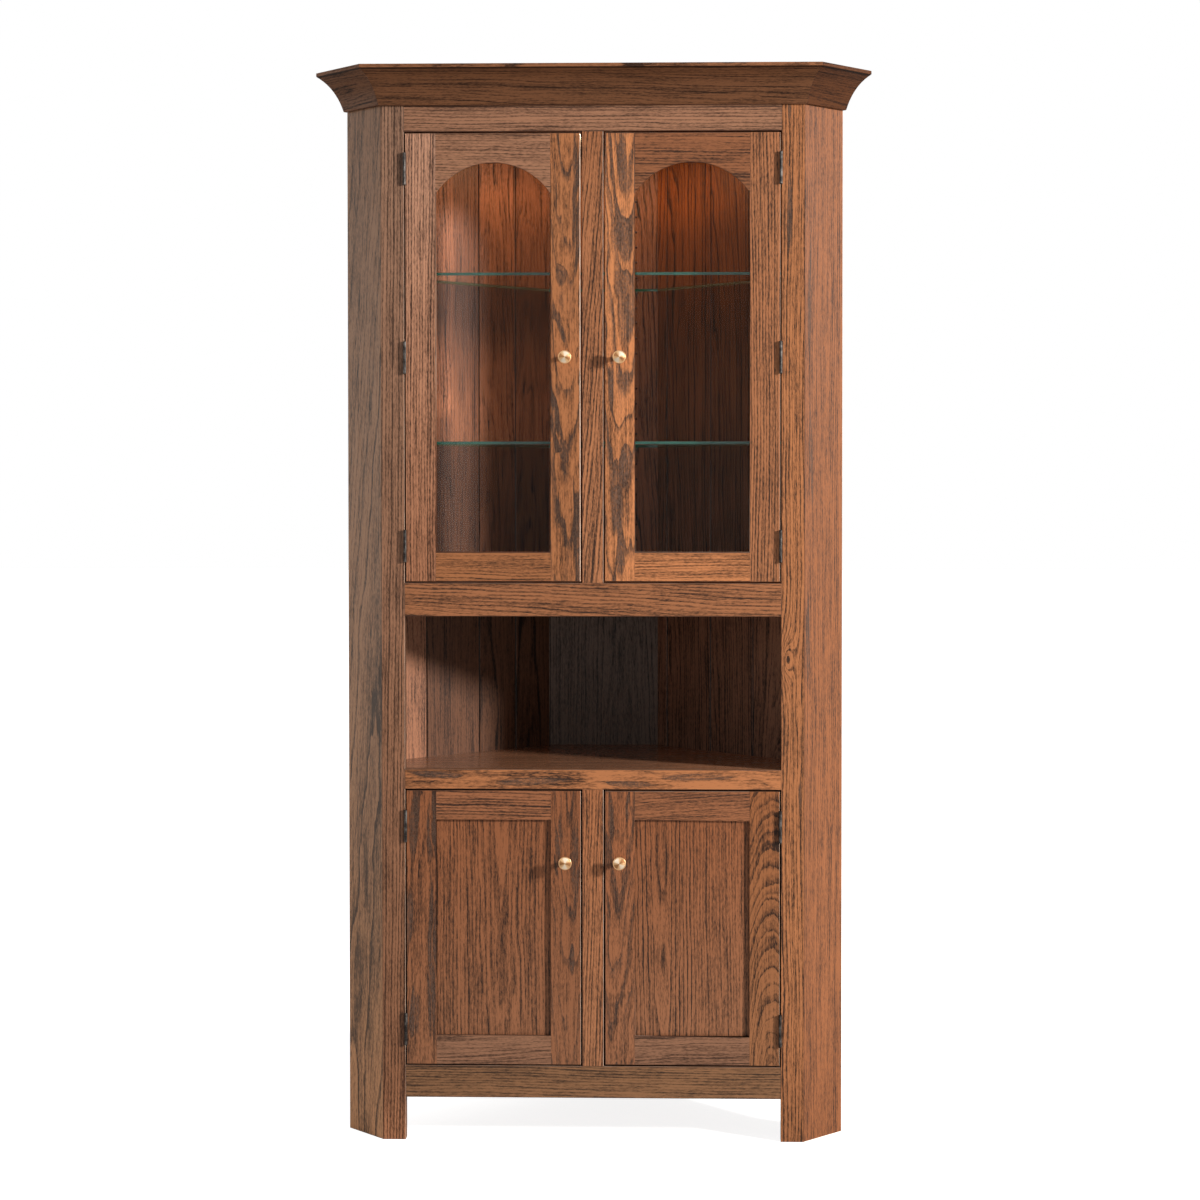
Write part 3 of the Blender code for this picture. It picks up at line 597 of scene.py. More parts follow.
def finish_modifier(piece, kind, **settings):
    pick(piece)
    modifier = piece.modifiers.new(kind.title(), kind)
    for name, value in settings.items():
        setattr(modifier, name, value)
    bpy.ops.object.modifier_apply(modifier=modifier.name)


def smooth(piece, angle=SHARP_ANGLE):
    """Shade curves as curves, and let the broad faces stay flat beside them."""
    pick(piece)
    bpy.ops.object.shade_smooth_by_angle(angle=angle)
    finish_modifier(piece, "WEIGHTED_NORMAL", keep_sharp=True, weight=100)


def mark_edges(piece, wanted):
    """Give a bevel weight to the sharp edges that a test picks by their middle."""
    shape = bmesh.new()
    shape.from_mesh(piece.data)
    weight = shape.edges.layers.float.get("bevel_weight_edge") or \
        shape.edges.layers.float.new("bevel_weight_edge")
    for edge in shape.edges:
        middle = (edge.verts[0].co + edge.verts[1].co) / 2
        is_sharp = len(edge.link_faces) == 2 and edge.calc_face_angle(0) > SHARP_ANGLE
        edge[weight] = 1.0 if is_sharp and wanted(middle) else 0.0
    shape.to_mesh(piece.data)
    shape.free()


def ease(piece, wood, trim=None, width=ARRIS, at_joint=None, at_curve=None, segments=2):
    """Round the arrises of a piece; those at a glued joint keep only a fine dark line."""
    piece.data.materials.clear()
    for material in (wood, trim or wood, glue_line):
        piece.data.materials.append(material)
    joint = at_joint or (lambda point: False)
    curve = at_curve or (lambda point: False)
    passes = [(lambda point: not joint(point) and not curve(point), width, segments, 1)]
    if at_curve:
        passes.append((lambda point: curve(point) and not joint(point), width * 0.6, 2, 0))
    if at_joint:
        passes.append((joint, JOINT_LINE, 1, 2))
    for wanted, size, steps, material in passes:
        mark_edges(piece, wanted)
        finish_modifier(piece, "BEVEL", width=size, segments=steps, limit_method="WEIGHT",
                        material=material, use_clamp_overlap=True)
    smooth(piece)


def settle(piece, body, slot, *nodes):
    """Put a piece on its body and hide the nodes that it stands for; slot is not used."""
    apply_place(piece)
    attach(piece, body)
    if nodes:
        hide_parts(*nodes)


def copy_piece(piece, name):
    twin = piece.copy()
    twin.data = piece.data.copy()
    twin.name = twin.data.name = name
    bpy.context.scene.collection.objects.link(twin)
    return twin


def lathe(name, profile, steps, point, axis):
    """Turn rings of (radius, height), from the foot out, along an axis from a point."""
    radius, height = profile[0]
    bpy.ops.mesh.primitive_circle_add(vertices=steps, radius=radius, fill_type="NGON")
    piece = bpy.context.object
    piece.name = piece.data.name = name
    edit(piece)
    bpy.ops.mesh.flip_normals()
    bpy.ops.transform.translate(value=(0, 0, height))
    for (last, low), (radius, high) in zip(profile, profile[1:]):
        bpy.ops.mesh.extrude_region_move(TRANSFORM_OT_translate={"value": (0, 0, high - low)})
        share = radius / last
        bpy.ops.transform.resize(value=(share, share, 1), center_override=(0, 0, high))
    bpy.ops.mesh.select_all(action="SELECT")
    bpy.ops.mesh.normals_make_consistent(inside=False)
    leave()
    turn = Vector(axis).to_track_quat("Z", "Y").to_matrix().to_4x4()
    piece.matrix_world = Matrix.Translation(point) @ turn
    apply_place(piece)
    return piece


def block(name, low, high):
    low, high = Vector(low), Vector(high)
    bpy.ops.mesh.primitive_cube_add(size=1, location=(low + high) / 2, scale=high - low)
    piece = bpy.context.object
    piece.name = piece.data.name = name
    apply_place(piece)
    return piece


def join(pieces, name):
    pick(*pieces)
    bpy.ops.object.join()
    pieces[0].name = pieces[0].data.name = name
    return pieces[0]


def dress(piece, material):
    piece.data.materials.clear()
    piece.data.materials.append(material)


def finish_turned(piece, material, body, slot, *nodes, angle=SHARP_ANGLE):
    """Dress, shade and settle a piece that was made here and not welded from a CAD node."""
    dress(piece, material)
    smooth(piece, angle)
    settle(piece, body, slot, *nodes)


# ---------------- carcass

arris = arris_painted_highlight()
glue_line = dark_joint()


def box_of(node):
    low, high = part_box(node)
    return low, high, (low + high) / 2


face_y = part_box("top_rail")[0].y
RAILS = ("bottom_rail", "counter_rail", "middle_rail", "top_rail")
rail_spans = [(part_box(rail)[0].z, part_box(rail)[1].z) for rail in RAILS]
rail_levels = sorted({round(edge, 5) for span in rail_spans for edge in span})
opening_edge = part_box("right_front_stile")[0].x
frame_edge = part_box("right_front_stile")[1].x
mullion_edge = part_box("upper_mullion")[1].x

CARCASS_FIGURES = {
    "left_front_stile": Figure("faded", (0.1, 0.03), (0.01, 0.0), 0.0058, 1.05, 1.3, 0.4,
        0.84, even=0.6, fall=0.05, cool=-0.26, foot=(0.5, -0.99, -0.88)),
    "right_front_stile": Figure("warm", (-0.06, 0.03), (0.004, 0.0), 0.006, 0.95, 2.9, 0.5,
        0.78, ((-0.0072, 0.756, 0.005, 0.065, 0.0, 0.8),
        (-0.0077, 0.965, 0.0035, 0.026, 0.0, 0.5), (0.0138, -0.354, 0.003, 0.026, 0.0, 0.4)),
        0.5, knots=((-0.0115, -0.095, 0.012, 0.034, 0.0, 5.0),
        (0.006, -0.2, 0.006, 0.06, 0.0, 1.2)), foot=(-0.13, -0.99, -0.86)),
    "top_rail": Figure("faded", (0.09, 0.05), (0.01, 0.0), 0.0048, 0.75, 3.1, 0.3, 0.87,
        even=0.7),
    "middle_rail": Figure("plain", (0.06, 0.06), (0.02, 0.03), 0.005, 0.7, 4.7, 0.5, 0.78,
        even=0.7),
    "counter_rail": Figure("warm", (0.004, 0.05), (0.01, 0.02), 0.007, 0.78, 5.9, 0.9, 0.84,
        ((-0.008, -0.3, 0.006, 0.045, 0.05, 1.0), (0.004, -0.12, 0.006, 0.06, -0.04, 1.0),
        (0.008, 0.06, 0.005, 0.05, 0.05, 1.0), (-0.006, 0.21, 0.006, 0.07, -0.03, 1.0))),
    "bottom_rail": Figure("greyed", (0.08, 0.06), (0.0, 0.02), 0.0044, 0.75, 6.4, 0.4, 0.98,
        even=0.6),
    "upper_mullion": Figure("plain", (0.075, 0.02), (0.095, 0.0), 0.0068, 0.95, 7.2, 1.1, 0.9,
        even=0.5, fall=-0.08, cool=0.05),
    "lower_mullion": Figure("plain", (0.06, 0.02), (0.03, 0.01), 0.0058, 1.05, 8.6, 0.6, 0.96,
        even=0.5, cool=0.12),
}


def on_rail_joint(point):
    """On the inner edge of a stile where a rail butts against it."""
    return any(low < point.z < high for low, high in rail_spans)


def finish_member(piece, node, across, along, at_joint, **settings):
    """Stain, ease and settle a member of the face frame."""
    centre = box_of(node)[2]
    wood = oak(node, CARCASS_FIGURES[node], (centre.x, face_y, centre.z), across, along,
               reveal=REVEAL_SHADE, **settings)
    ease(piece, wood, arris, at_joint=at_joint)
    settle(piece, "carcass", "stained_oak", node)


def make_stiles():
    def at_joint(point):
        is_mitre = abs(point.x) > frame_edge - 0.002
        is_inner = abs(abs(point.x) - opening_edge) < ON_LINE
        return is_mitre or (is_inner and on_rail_joint(point))

    for side_name in SIDES:
        node = f"{side_name}_front_stile"
        low, high, _ = box_of(node)
        piece = weld_copy(node, f"{side_name}_stile")
        for level in rail_levels[1:-1]:
            score(piece, (0, 0, level), UP)
        finish_member(piece, node, ACROSS, UP, at_joint, reach=(high.z - low.z) / 2)


def make_rails():
    for node in reversed(RAILS):
        low, high, _ = box_of(node)
        piece = weld_copy(node, node.replace("rail", "cross_rail"))
        for edge in (-mullion_edge, mullion_edge):
            score(piece, (edge, 0, 0), ACROSS)
        mullion_end = low.z if node in ("top_rail", "counter_rail") else high.z

        def at_joint(point):
            is_end = abs(point.x) > opening_edge - 0.002
            return is_end or (abs(point.x) < mullion_edge
                              and abs(point.z - mullion_end) < ON_LINE)

        finish_member(piece, node, -UP, ACROSS, at_joint)


def make_mullions():
    for node in ("upper_mullion", "lower_mullion"):
        low, high, _ = box_of(node)
        piece = weld_copy(node, node.replace("mullion", "centre_stile"))

        def at_joint(point):
            return min(point.z - low.z, high.z - point.z) < ON_LINE

        finish_member(piece, node, ACROSS, UP, at_joint, reach=(high.z - low.z) / 2)


def make_returns():
    figures = {
        "left": Figure("greyed", (0.070, 0.060), (0.120, 0.012), 0.0110, 0.75, 9.3, 0.9, 1.28,
            fall=-0.20, cool=0.02, foot=(0.20, -0.95, -0.35)),
        "right": Figure("sunny", (-0.140, 0.040), (0.0, 0.0), 0.0056, 0.65, 10.8, 0.4, 0.64,
            ((-0.040, 0.600, 0.005, 0.110, 0.02, 0.4), (-0.036, 0.300, 0.004, 0.090, -0.03, 0.4),
            (-0.044, -0.050, 0.005, 0.080, 0.0, 0.4)), fall=-0.10),
    }
    for side_name, side in SIDES.items():
        node = f"{side_name}_side_return"
        low, high, centre = box_of(node)
        piece = weld_copy(node, f"{side_name}_return")

        def at_joint(point):
            return abs(point.x) < frame_edge + 0.001

        across = Vector((DIAGONAL, side * DIAGONAL, 0))
        wood = oak(node, figures[side_name], centre, across, UP, reach=(high.z - low.z) / 2)
        ease(piece, wood, arris, at_joint=at_joint)
        settle(piece, "carcass", "stained_oak", node)


# Painted light and shade beside each glass shelf: how much light it throws on the boards
# above, how much it darkens them below, and how far down that shade reaches
SHELF_LIGHT = {"left": ((0.0, 0.62, 0.20), (0.45, 0.45, 1.0)),
               "right": ((0.0, 0.38, 0.26), (0.0, 0.15, 0.10))}


def make_inside():
    """Boards along the walls, the rear panel, floors, deck and the wooden shelf."""
    # Painted lamp light: glow lightens the boards near the head, and cool makes the right boards
    # warmer there and greyer towards the foot. The tone below the floor is painted shade.
    figures = {
        "left": Figure("inner", (0.030, 0.060), (0.010, 0.030), 0.0060, 0.75, 11.7, 0.9, 1.0,
            glow=0.8, below="dusk"),
        "right": Figure("dusk", (0.020, 0.055), (0.010, 0.035), 0.0060, 0.75, 12.4, 0.9, 1.0,
            glow=0.9, cool=1.0),
    }
    # Each board's shade above and below the floor is painted light and shade of the two
    # compartments
    boards = {
        "left": ((-0.250, 0.8, 1.75), (-0.2043, 0.8, 1.75), (-0.0774, 0.72, 0.74),
                 (0.0588, 1.05, 0.68), (0.1559, 0.75, 0.64)),
        "right": ((-0.250, 0.58, 0.95), (-0.2193, 0.58, 0.95), (-0.0900, 0.54, 1.0),
                  (0.0310, 0.56, 1.15), (0.1555, 0.56, 1.85)),
    }
    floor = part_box("upper_floor")[0].z
    high_shelf, low_shelf = (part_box(f"{level}_glass_shelf")[1].z for level in ("upper", "lower"))
    for side_name, side in SIDES.items():
        node = f"{side_name}_back_boards"
        centre = box_of(node)[2]
        face = (WALL_SUM - abs(centre.x) - centre.y) * DIAGONAL
        shelves = SHELF_LIGHT[side_name]
        # A strip of the left boards that is lit in the photo
        # The pool paints that light on the strip
        pool = (-0.0774, -0.0111, low_shelf - centre.z + 0.06, 0.82, 0.8)
        across = Vector((DIAGONAL, -side * DIAGONAL, 0))
        wood = oak(node, figures[side_name], centre, across, UP, boards=boards[side_name],
                   floor=floor - centre.z, reach=box_of(node)[1].z - centre.z, sheen=0.36,
                   lining=(face, face + BOARD_THICKNESS),
                   shelves=((high_shelf - centre.z, *shelves[0]),
                            (low_shelf - centre.z, *shelves[1])),
                   pool=pool if side < 0 else None)
        dress(frame["nodes"][node], wood)
    _, high, centre = box_of("rear_panel")
    face = high.y - BOARD_THICKNESS - centre.y
    # glow paints lamp light near the head, and the slate tone below the floor is painted shade
    figure = Figure("inner", (0.04, 0.07), (0.0, 0.03), 0.006, 0.6, 13.5, shade=0.75, glow=0.6,
                    below="slate")
    wood = oak("rear_panel", figure, centre, ACROSS, UP, floor=floor - centre.z,
               lining=(face, face + BOARD_THICKNESS))
    dress(frame["nodes"]["rear_panel"], wood)
    flats = {
        # Painted light on the deck's right end, which lies in the right stile's shadow; the foot
        # lift darkens the rest
        "counter_deck": (Figure("deck", (0.05, 0.08), (0.02, 0.02), 0.0065, 0.6, 14.1, shade=1.80,
            foot=(-0.36, 0.02, 0.28)), 0.17),
        "upper_floor": (Figure("inner", (0.02, 0.08), (0.02, 0.02), 0.0065, 0.7, 15.6), 0.34),
        "lower_floor": (Figure("inner", (0.06, 0.08), (0.02, 0.02), 0.0065, 0.7, 16.2), 0.38),
        "top_panel": (Figure("inner", (0.01, 0.08), (0.02, 0.02), 0.0065, 0.7, 17.9), 0.42),
        "wooden_shelf": (Figure("inner", (0.03, 0.08), (0.02, 0.02), 0.0065, 0.7, 18.3), 0.38),
    }
    for node, (figure, sheen) in flats.items():
        _, high, centre = box_of(node)
        piece = weld_copy(node, f"{node}_board")
        wood = oak(node, figure, (centre.x, centre.y, high.z), DEEP, ACROSS, sheen=sheen)
        ease(piece, wood, arris, width=0.0008 if node == "wooden_shelf" else 0.0002)
        settle(piece, "carcass", "inner_oak", node)


# Painted light on the top fillet of each crown length, which faces the light more than the cove
# below it; a painted shadow line marks where the cove starts
FILLET_SHADES = {"front": (1.7, 1.7), "left": (1.4, 1.4), "right": (1.2, 1.2)}


def make_crown():
    """Sprung cove moulding in three lengths, mitred at the corners of the case."""
    figures = {
        "front": Figure("crown", (0.02, 0.07), (0.0, 0.035), 0.0060, 0.60, 19.4, 0.8, 0.90),
        "left": Figure("crown", (0.03, 0.06), (0.0, 0.03), 0.0060, 0.60, 20.2, 0.6, 0.88),
        "right": Figure("sunny", (0.01, 0.05), (0.0, 0.03), 0.0060, 0.60, 21.9, 0.5, 0.215),
    }
    directions = {"front": ACROSS, "left": Vector((DIAGONAL, -DIAGONAL, 0)),
                  "right": Vector((DIAGONAL, DIAGONAL, 0))}
    for name, along in directions.items():
        node = f"crown_{name}"
        low, _, centre = box_of(node)
        piece = weld_copy(node, f"{name}_cove_moulding")
        fillet = low.z - centre.z + FILLET
        wood = oak(node, figures[name], centre, -UP, along,
                   boards=((low.z - centre.z, *FILLET_SHADES[name]), (fillet, 1.0, 1.0)),
                   gloss=0.10)
        ease(piece, wood, wood, width=0.0010, at_joint=is_crown_mitre)
        settle(piece, "carcass", "stained_oak", node)


def is_crown_mitre(point):
    """On one of the two mitred joints of the crown."""
    away = Vector((abs(point.x) - frame_edge, point.y - face_y, 0))
    across = Vector((math.cos(math.radians(22.5)), math.sin(math.radians(22.5)), 0))
    return abs(away.dot(across)) < 0.0008


# ---------------- doors

DOOR_STILE = 0.0575
DOOR_RAIL = 0.0560


# The four members of each door, and the lower panels
DOOR_FIGURES = {
    "upper_left": {
        "hinge_stile": Figure("rosy", (0.095, 0.015), (0.006, 0.0), 0.0056, 1.0, 30.1, 0.35,
            0.92, even=0.6, fall=0.16, cool=-0.22),
        "lock_stile": Figure("warm", (0.0, 0.044), (0.01, -0.052), 0.0068, 1.2, 31.7, 1.1,
            0.77, ((0.0215, 0.291, 0.007, 0.115, 0.0, 0.6),
            (-0.0096, 0.158, 0.009, 0.018, 0.0, 0.9),
            (-0.0086, 0.056, 0.006, 0.04, -0.3, 0.9),
            (-0.019, -0.1, 0.0085, 0.045, 0.0, 0.8),
            (-0.0086, -0.1755, 0.009, 0.02, -0.4, 0.9),
            (0.0225, -0.358, 0.006, 0.08, 0.0, 0.5)), dusty=0.75),
        "top_rail": Figure("faded", (0.02, 0.09), (0.0, 0.03), 0.0054, 0.75, 32.4, 0.4, 0.97,
            even=0.5),
        "bottom_rail": Figure("warm", (0.004, 0.03), (0.0, 0.0), 0.006, 0.8, 33.2, 1.0, 0.68,
            ((0.002, -0.02, 0.006, 0.05, 0.05, 2.5), (0.012, -0.07, 0.004, 0.04, 0.0, 0.5),
            (-0.01, 0.06, 0.004, 0.03, 0.1, 0.5))),
    },
    "upper_right": {
        "hinge_stile": Figure("plain", (-0.12, 0.03), (0.004, 0.0), 0.0052, 0.85, 34.8, 0.3,
            0.88, even=0.7),
        "lock_stile": Figure("warm", (0.006, 0.044), (0.004, -0.052), 0.0068, 1.1, 35.5, 1.1,
            1.1, ((0.0052, 0.374, 0.008, 0.05, 0.0, 0.8),
            (0.006, 0.239, 0.015, 0.045, -0.1, 1.2), (0.0126, 0.15, 0.008, 0.016, 0.0, 0.6),
            (0.0193, 0.078, 0.0065, 0.042, 0.0, 0.6), (-0.016, -0.048, 0.005, 0.046, 0.0, 0.6),
            (0.0098, -0.204, 0.008, 0.036, 0.0, 1.5),
            (-0.0046, -0.291, 0.01, 0.052, -0.08, 1.0),
            (0.002, -0.379, 0.007, 0.046, 0.0, 0.6)), dusty=0.75),
        "top_rail": Figure("dusky", (0.04, 0.06), (0.0, 0.04), 0.0056, 0.9, 36.9, 0.6, 0.7,
            ((0.01, 0.0, 0.006, 0.05, 0.0, 1.5),)),
        "bottom_rail": Figure("warm", (0.06, 0.03), (0.006, 0.02), 0.0062, 0.9, 37.3, 0.4,
            1.0),
    },
    "lower_left": {
        "hinge_stile": Figure("dusky", (0.004, 0.03), (0.02, 0.03), 0.006, 0.95, 38.6, 1.0,
            0.84, ((-0.0126, 0.203, 0.01, 0.056, 0.06, 0.8),
            (0.019, 0.2, 0.0085, 0.06, 0.0, 0.6), (-0.023, 0.017, 0.008, 0.044, 0.0, 0.6),
            (0.019, -0.064, 0.0075, 0.14, 0.0, 0.5),
            (-0.015, -0.168, 0.01, 0.045, 0.0, 0.6)), cool=0.16),
        "lock_stile": Figure("dusky", (0.01, 0.045), (0.01, -0.055), 0.0062, 1.0, 39.1, 1.0,
            0.77, ((-0.014, 0.16, 0.006, 0.05, 0.06, 0.6),
            (0.018, 0.12, 0.007, 0.08, 0.0, 0.5), (0.012, -0.06, 0.004, 0.03, 0.0, 0.6)),
            cool=0.16, dusty=0.55),
        "top_rail": Figure("dusky", (0.015, 0.03), (0.02, 0.01), 0.006, 0.95, 40.7, 0.8, 0.88,
            ((-0.0124, -0.083, 0.009, 0.034, 0.1, 0.8),
            (-0.02, 0.03, 0.007, 0.055, 0.0, 0.6),
            (-0.007, 0.092, 0.011, 0.03, 0.0, 0.6))),
        "bottom_rail": Figure("faded", (0.06, 0.03), (-0.06, 0.0), 0.0058, 0.9, 41.4, 0.7,
            0.8),
        "panel": Figure("dusky", (0.015, 0.052), (0.0, -0.018), 0.0056, 0.65, 42.9, 0.45, 0.8,
            even=0.7, cool=0.15),
    },
    "lower_right": {
        "hinge_stile": Figure("warm", (0.017, 0.062), (0.0, 0.18), 0.0056, 0.98, 43.8, 0.4, 0.55,
            cool=0.14),
        "lock_stile": Figure("dusky", (-0.006, 0.045), (0.01, -0.05), 0.006, 1.0, 44.2, 1.0,
            0.89, ((-0.018, 0.2, 0.006, 0.06, 0.0, 0.5),
            (0.016, 0.235, 0.006, 0.025, 0.0, 0.8)), cool=0.16, dusty=0.5),
        "top_rail": Figure("dusky", (0.03, 0.04), (-0.09, 0.0), 0.006, 0.9, 45.6, 0.5, 0.79),
        "bottom_rail": Figure("faded", (0.012, 0.04), (0.0, 0.05), 0.0058, 0.95, 46.3, 1.0,
            0.73),
        "panel": Figure("dusky", (-0.06, 0.036), (0.0, -0.014), 0.0056, 0.65, 47.7, 0.7, 0.82,
            even=0.7, fall=-0.05, cool=0.18),
    },
}


def make_door_members(level, side_name, figures):
    side = SIDES[side_name]
    body = f"{level}_{side_name}_door"
    node = f"{body}_frame"
    low, high, centre = box_of(node)
    inner = (low.x + DOOR_STILE, high.x - DOOR_STILE)
    hinge_edge = inner[0] if side < 0 else inner[1]
    lock_edge = inner[1] if side < 0 else inner[0]
    welded = weld_copy(node, body + "_blank")
    members = {
        "hinge_stile": ([(hinge_edge, side > 0)], ACROSS, UP),
        "lock_stile": ([(lock_edge, side < 0)], ACROSS, UP),
        "top_rail": ([(inner[0], True), (inner[1], False)], -UP, ACROSS),
        "bottom_rail": ([(inner[0], True), (inner[1], False)], -UP, ACROSS),
    }
    for member, (cuts, across, along) in members.items():
        piece = copy_piece(welded, f"{body}_{member}")
        for edge, keep_front in cuts:
            cut(piece, (edge, 0, 0), ACROSS, keep_front)
        if member.endswith("rail"):
            cut(piece, (0, 0, centre.z), UP, member == "top_rail")
        bounds = [piece.matrix_world @ Vector(corner) for corner in piece.bound_box]
        middle = (bounds[0] + bounds[6]) / 2

        def at_joint(point):
            return min(abs(point.x - inner[0]), abs(point.x - inner[1])) < 0.0001 and (
                point.z < low.z + DOOR_RAIL or point.z > high.z - DOOR_RAIL)

        def on_arch(point):
            return high.z - DOOR_RAIL * 0.6 > point.z

        spot = (middle.x, face_y, middle.z)
        wood = oak(f"{body}_{member}", figures[member], spot, across, along,
                   reach=(high.z - low.z) / 2, reveal=REVEAL_SHADE)
        ease(piece, wood, arris, at_joint=at_joint,
             at_curve=on_arch if level == "upper" and member == "top_rail" else None)
        if member == "hinge_stile":
            settle(piece, body, "stained_oak", node)
        else:
            settle(piece, body, "stained_oak")
    bpy.data.objects.remove(welded)


def make_doors():
    for level in ("upper", "lower"):
        for side_name in SIDES:
            make_door_members(level, side_name, DOOR_FIGURES[f"{level}_{side_name}"])
    for side_name in SIDES:
        body = f"lower_{side_name}_door"
        low, high, centre = box_of(f"{body}_panel")
        piece = weld_copy(f"{body}_panel", f"{body}_flat_panel")
        wood = oak(f"{body}_panel", DOOR_FIGURES[f"lower_{side_name}"]["panel"],
                   (centre.x, low.y, centre.z), ACROSS, UP, reach=(high.z - low.z) / 2)
        ease(piece, wood, width=0.0005)
        settle(piece, body, "stained_oak", f"{body}_panel")


def make_glazing():
    pane_finish, shelf_finish = pane_glass(), shelf_glass()
    for side_name in SIDES:
        body = f"upper_{side_name}_door"
        pane = weld_copy(f"{body}_glass_pane", f"{body}_pane")
        ease(pane, pane_finish, width=GLASS_ARRIS, segments=1)
        settle(pane, body, "clear_glass", f"{body}_glass_pane")
        stop = weld_copy(f"{body}_glass_stop", f"{body}_beading")
        centre = box_of(f"{body}_glass_stop")[2]
        wood = oak(f"{body}_beading", Figure("inner", (0.05, 0.03), (0.01, 0.0), 0.004, 0.7, 50.3),
                   centre, ACROSS, UP)
        ease(stop, wood, arris, width=0.0010)
        settle(stop, body, "inner_oak", f"{body}_glass_stop")
    for node in ("upper_glass_shelf", "lower_glass_shelf"):
        shelf = weld_copy(node, node.replace("glass_shelf", "plate_glass_shelf"))
        ease(shelf, shelf_finish, width=GLASS_ARRIS)
        settle(shelf, "carcass", "clear_glass", node)


# ---------------- hardware

# How far each knob's painted highlight and shadow sectors are turned from upright
KNOB_SLANTS = {("upper", "left"): 0.30, ("upper", "right"): 0.55,
               ("lower", "left"): 0.10, ("lower", "right"): -0.70}


def make_knobs():
    profile = [
        (0.0075, 0.0), (0.0077, 0.0006), (0.0075, 0.0016), (0.0064, 0.0024), (0.0050, 0.0034),
        (0.0047, 0.0056), (0.0046, 0.0100), (0.0049, 0.0134), (0.0060, 0.0156),
        (0.0086, 0.0172), (0.0112, 0.0182), (0.0124, 0.0192), (0.0128, 0.0203),
        (0.0127, 0.0214), (0.0121, 0.0221), (0.0115, 0.0222), (0.0111, 0.0220),
        (0.0106, 0.0221), (0.0080, 0.0233), (0.0050, 0.0241), (0.0020, 0.0245), (0.0003, 0.02455),
    ]
    for level in ("upper", "lower"):
        for side_name in SIDES:
            body = f"{level}_{side_name}_door"
            low, high, centre = box_of(f"{body}_knob")
            knob = lathe(f"{body}_turned_knob", profile, 56, (centre.x, high.y, centre.z),
                         (0, -1, 0))
            brass = satin_brass(f"{body}_brass", (centre.x, low.y, centre.z),
                                KNOB_SLANTS[level, side_name])
            finish_turned(knob, brass, body, "satin_brass", f"{body}_knob",
                          angle=math.radians(40))


def screw_head(name, point, axis):
    """A countersunk head that sits just proud, with a slot across it."""
    return lathe(name, [(SCREW_RADIUS, 0), (SCREW_RADIUS, SCREW_HEIGHT * 0.6),
                        (SCREW_RADIUS * 0.93, SCREW_HEIGHT), (0.0009, SCREW_HEIGHT),
                        (0.0007, SCREW_HEIGHT * 0.3), (0.0002, SCREW_HEIGHT * 0.3)],
                 16, point, axis)


def make_hinges():
    bronze = dark_bronze()
    for joint in frame["joints"]:
        body = joint["child"]
        x, y, _ = joint["pos_m"]
        side = 1 if x > 0 else -1
        names = ("bottom", "middle", "top") if body.startswith("upper") else ("bottom", "top")
        for level in names:
            node = f"{body}_{level}_hinge"
            frame_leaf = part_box(f"{node}_frame_leaf")
            base = (frame_leaf[0].z + frame_leaf[1].z) / 2 - HINGE_HEIGHT / 2
            for half, rider, first in (("frame_leaf", "carcass", 0), ("door_leaf", body, 1)):
                outward = side if half == "frame_leaf" else -side
                make_hinge_half(f"{node}_{half}", (x, y, base), outward, first, bronze, rider)


def make_hinge_half(node, line, outward, first, material, body):
    """A leaf with every second knuckle, from first; the frame's leaf also has the caps."""
    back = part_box(node)[1].y
    x, y, base = line
    pitch = HINGE_HEIGHT / KNUCKLE_COUNT
    near = x + outward * LEAF_CLEARANCE
    far = near + outward * LEAF_THICKNESS
    xs = sorted((near, far))
    leaf = block("leaf", (xs[0], face_y, base), (xs[1], back, base + HINGE_HEIGHT))
    finish_modifier(leaf, "BEVEL", width=0.0004, segments=2)
    parts = [leaf]
    for knuckle in range(first, KNUCKLE_COUNT, 2):
        low = base + knuckle * pitch + KNUCKLE_GAP / 2
        length = pitch - KNUCKLE_GAP
        parts.append(block("web", (xs[0], y, low), (xs[1], face_y + 0.001, low + length)))
        foot = [(KNUCKLE_RADIUS - KNUCKLE_RIM, 0),
                (KNUCKLE_RADIUS - KNUCKLE_RIM * 0.3, KNUCKLE_RIM * 0.3),
                (KNUCKLE_RADIUS, KNUCKLE_RIM)]
        head = [(radius, length - height) for radius, height in reversed(foot)]
        parts.append(lathe("knuckle", foot + head + [(0.0005, length)], 28,
                           (x, y, low), (0, 0, 1)))
    if first == 0:
        for level, way in ((base, -1), (base + HINGE_HEIGHT, 1)):
            parts.append(lathe("cap", [
                (CAP_RADIUS, 0), (CAP_RADIUS, CAP_HEIGHT * 0.4),
                (CAP_RADIUS * 0.85, CAP_HEIGHT * 0.8), (CAP_RADIUS * 0.45, CAP_HEIGHT),
                (0.0002, CAP_HEIGHT)], 28, (x, y, level), (0, 0, way)))
    for share, depth in SCREW_LEVELS:
        spot = (near, face_y + depth, base + share * HINGE_HEIGHT)
        parts.append(screw_head("screw", spot, (-outward, 0, 0)))
    finish_turned(join(parts, f"{node}_turned"), material, body, "dark_bronze", node,
                  angle=math.radians(35))


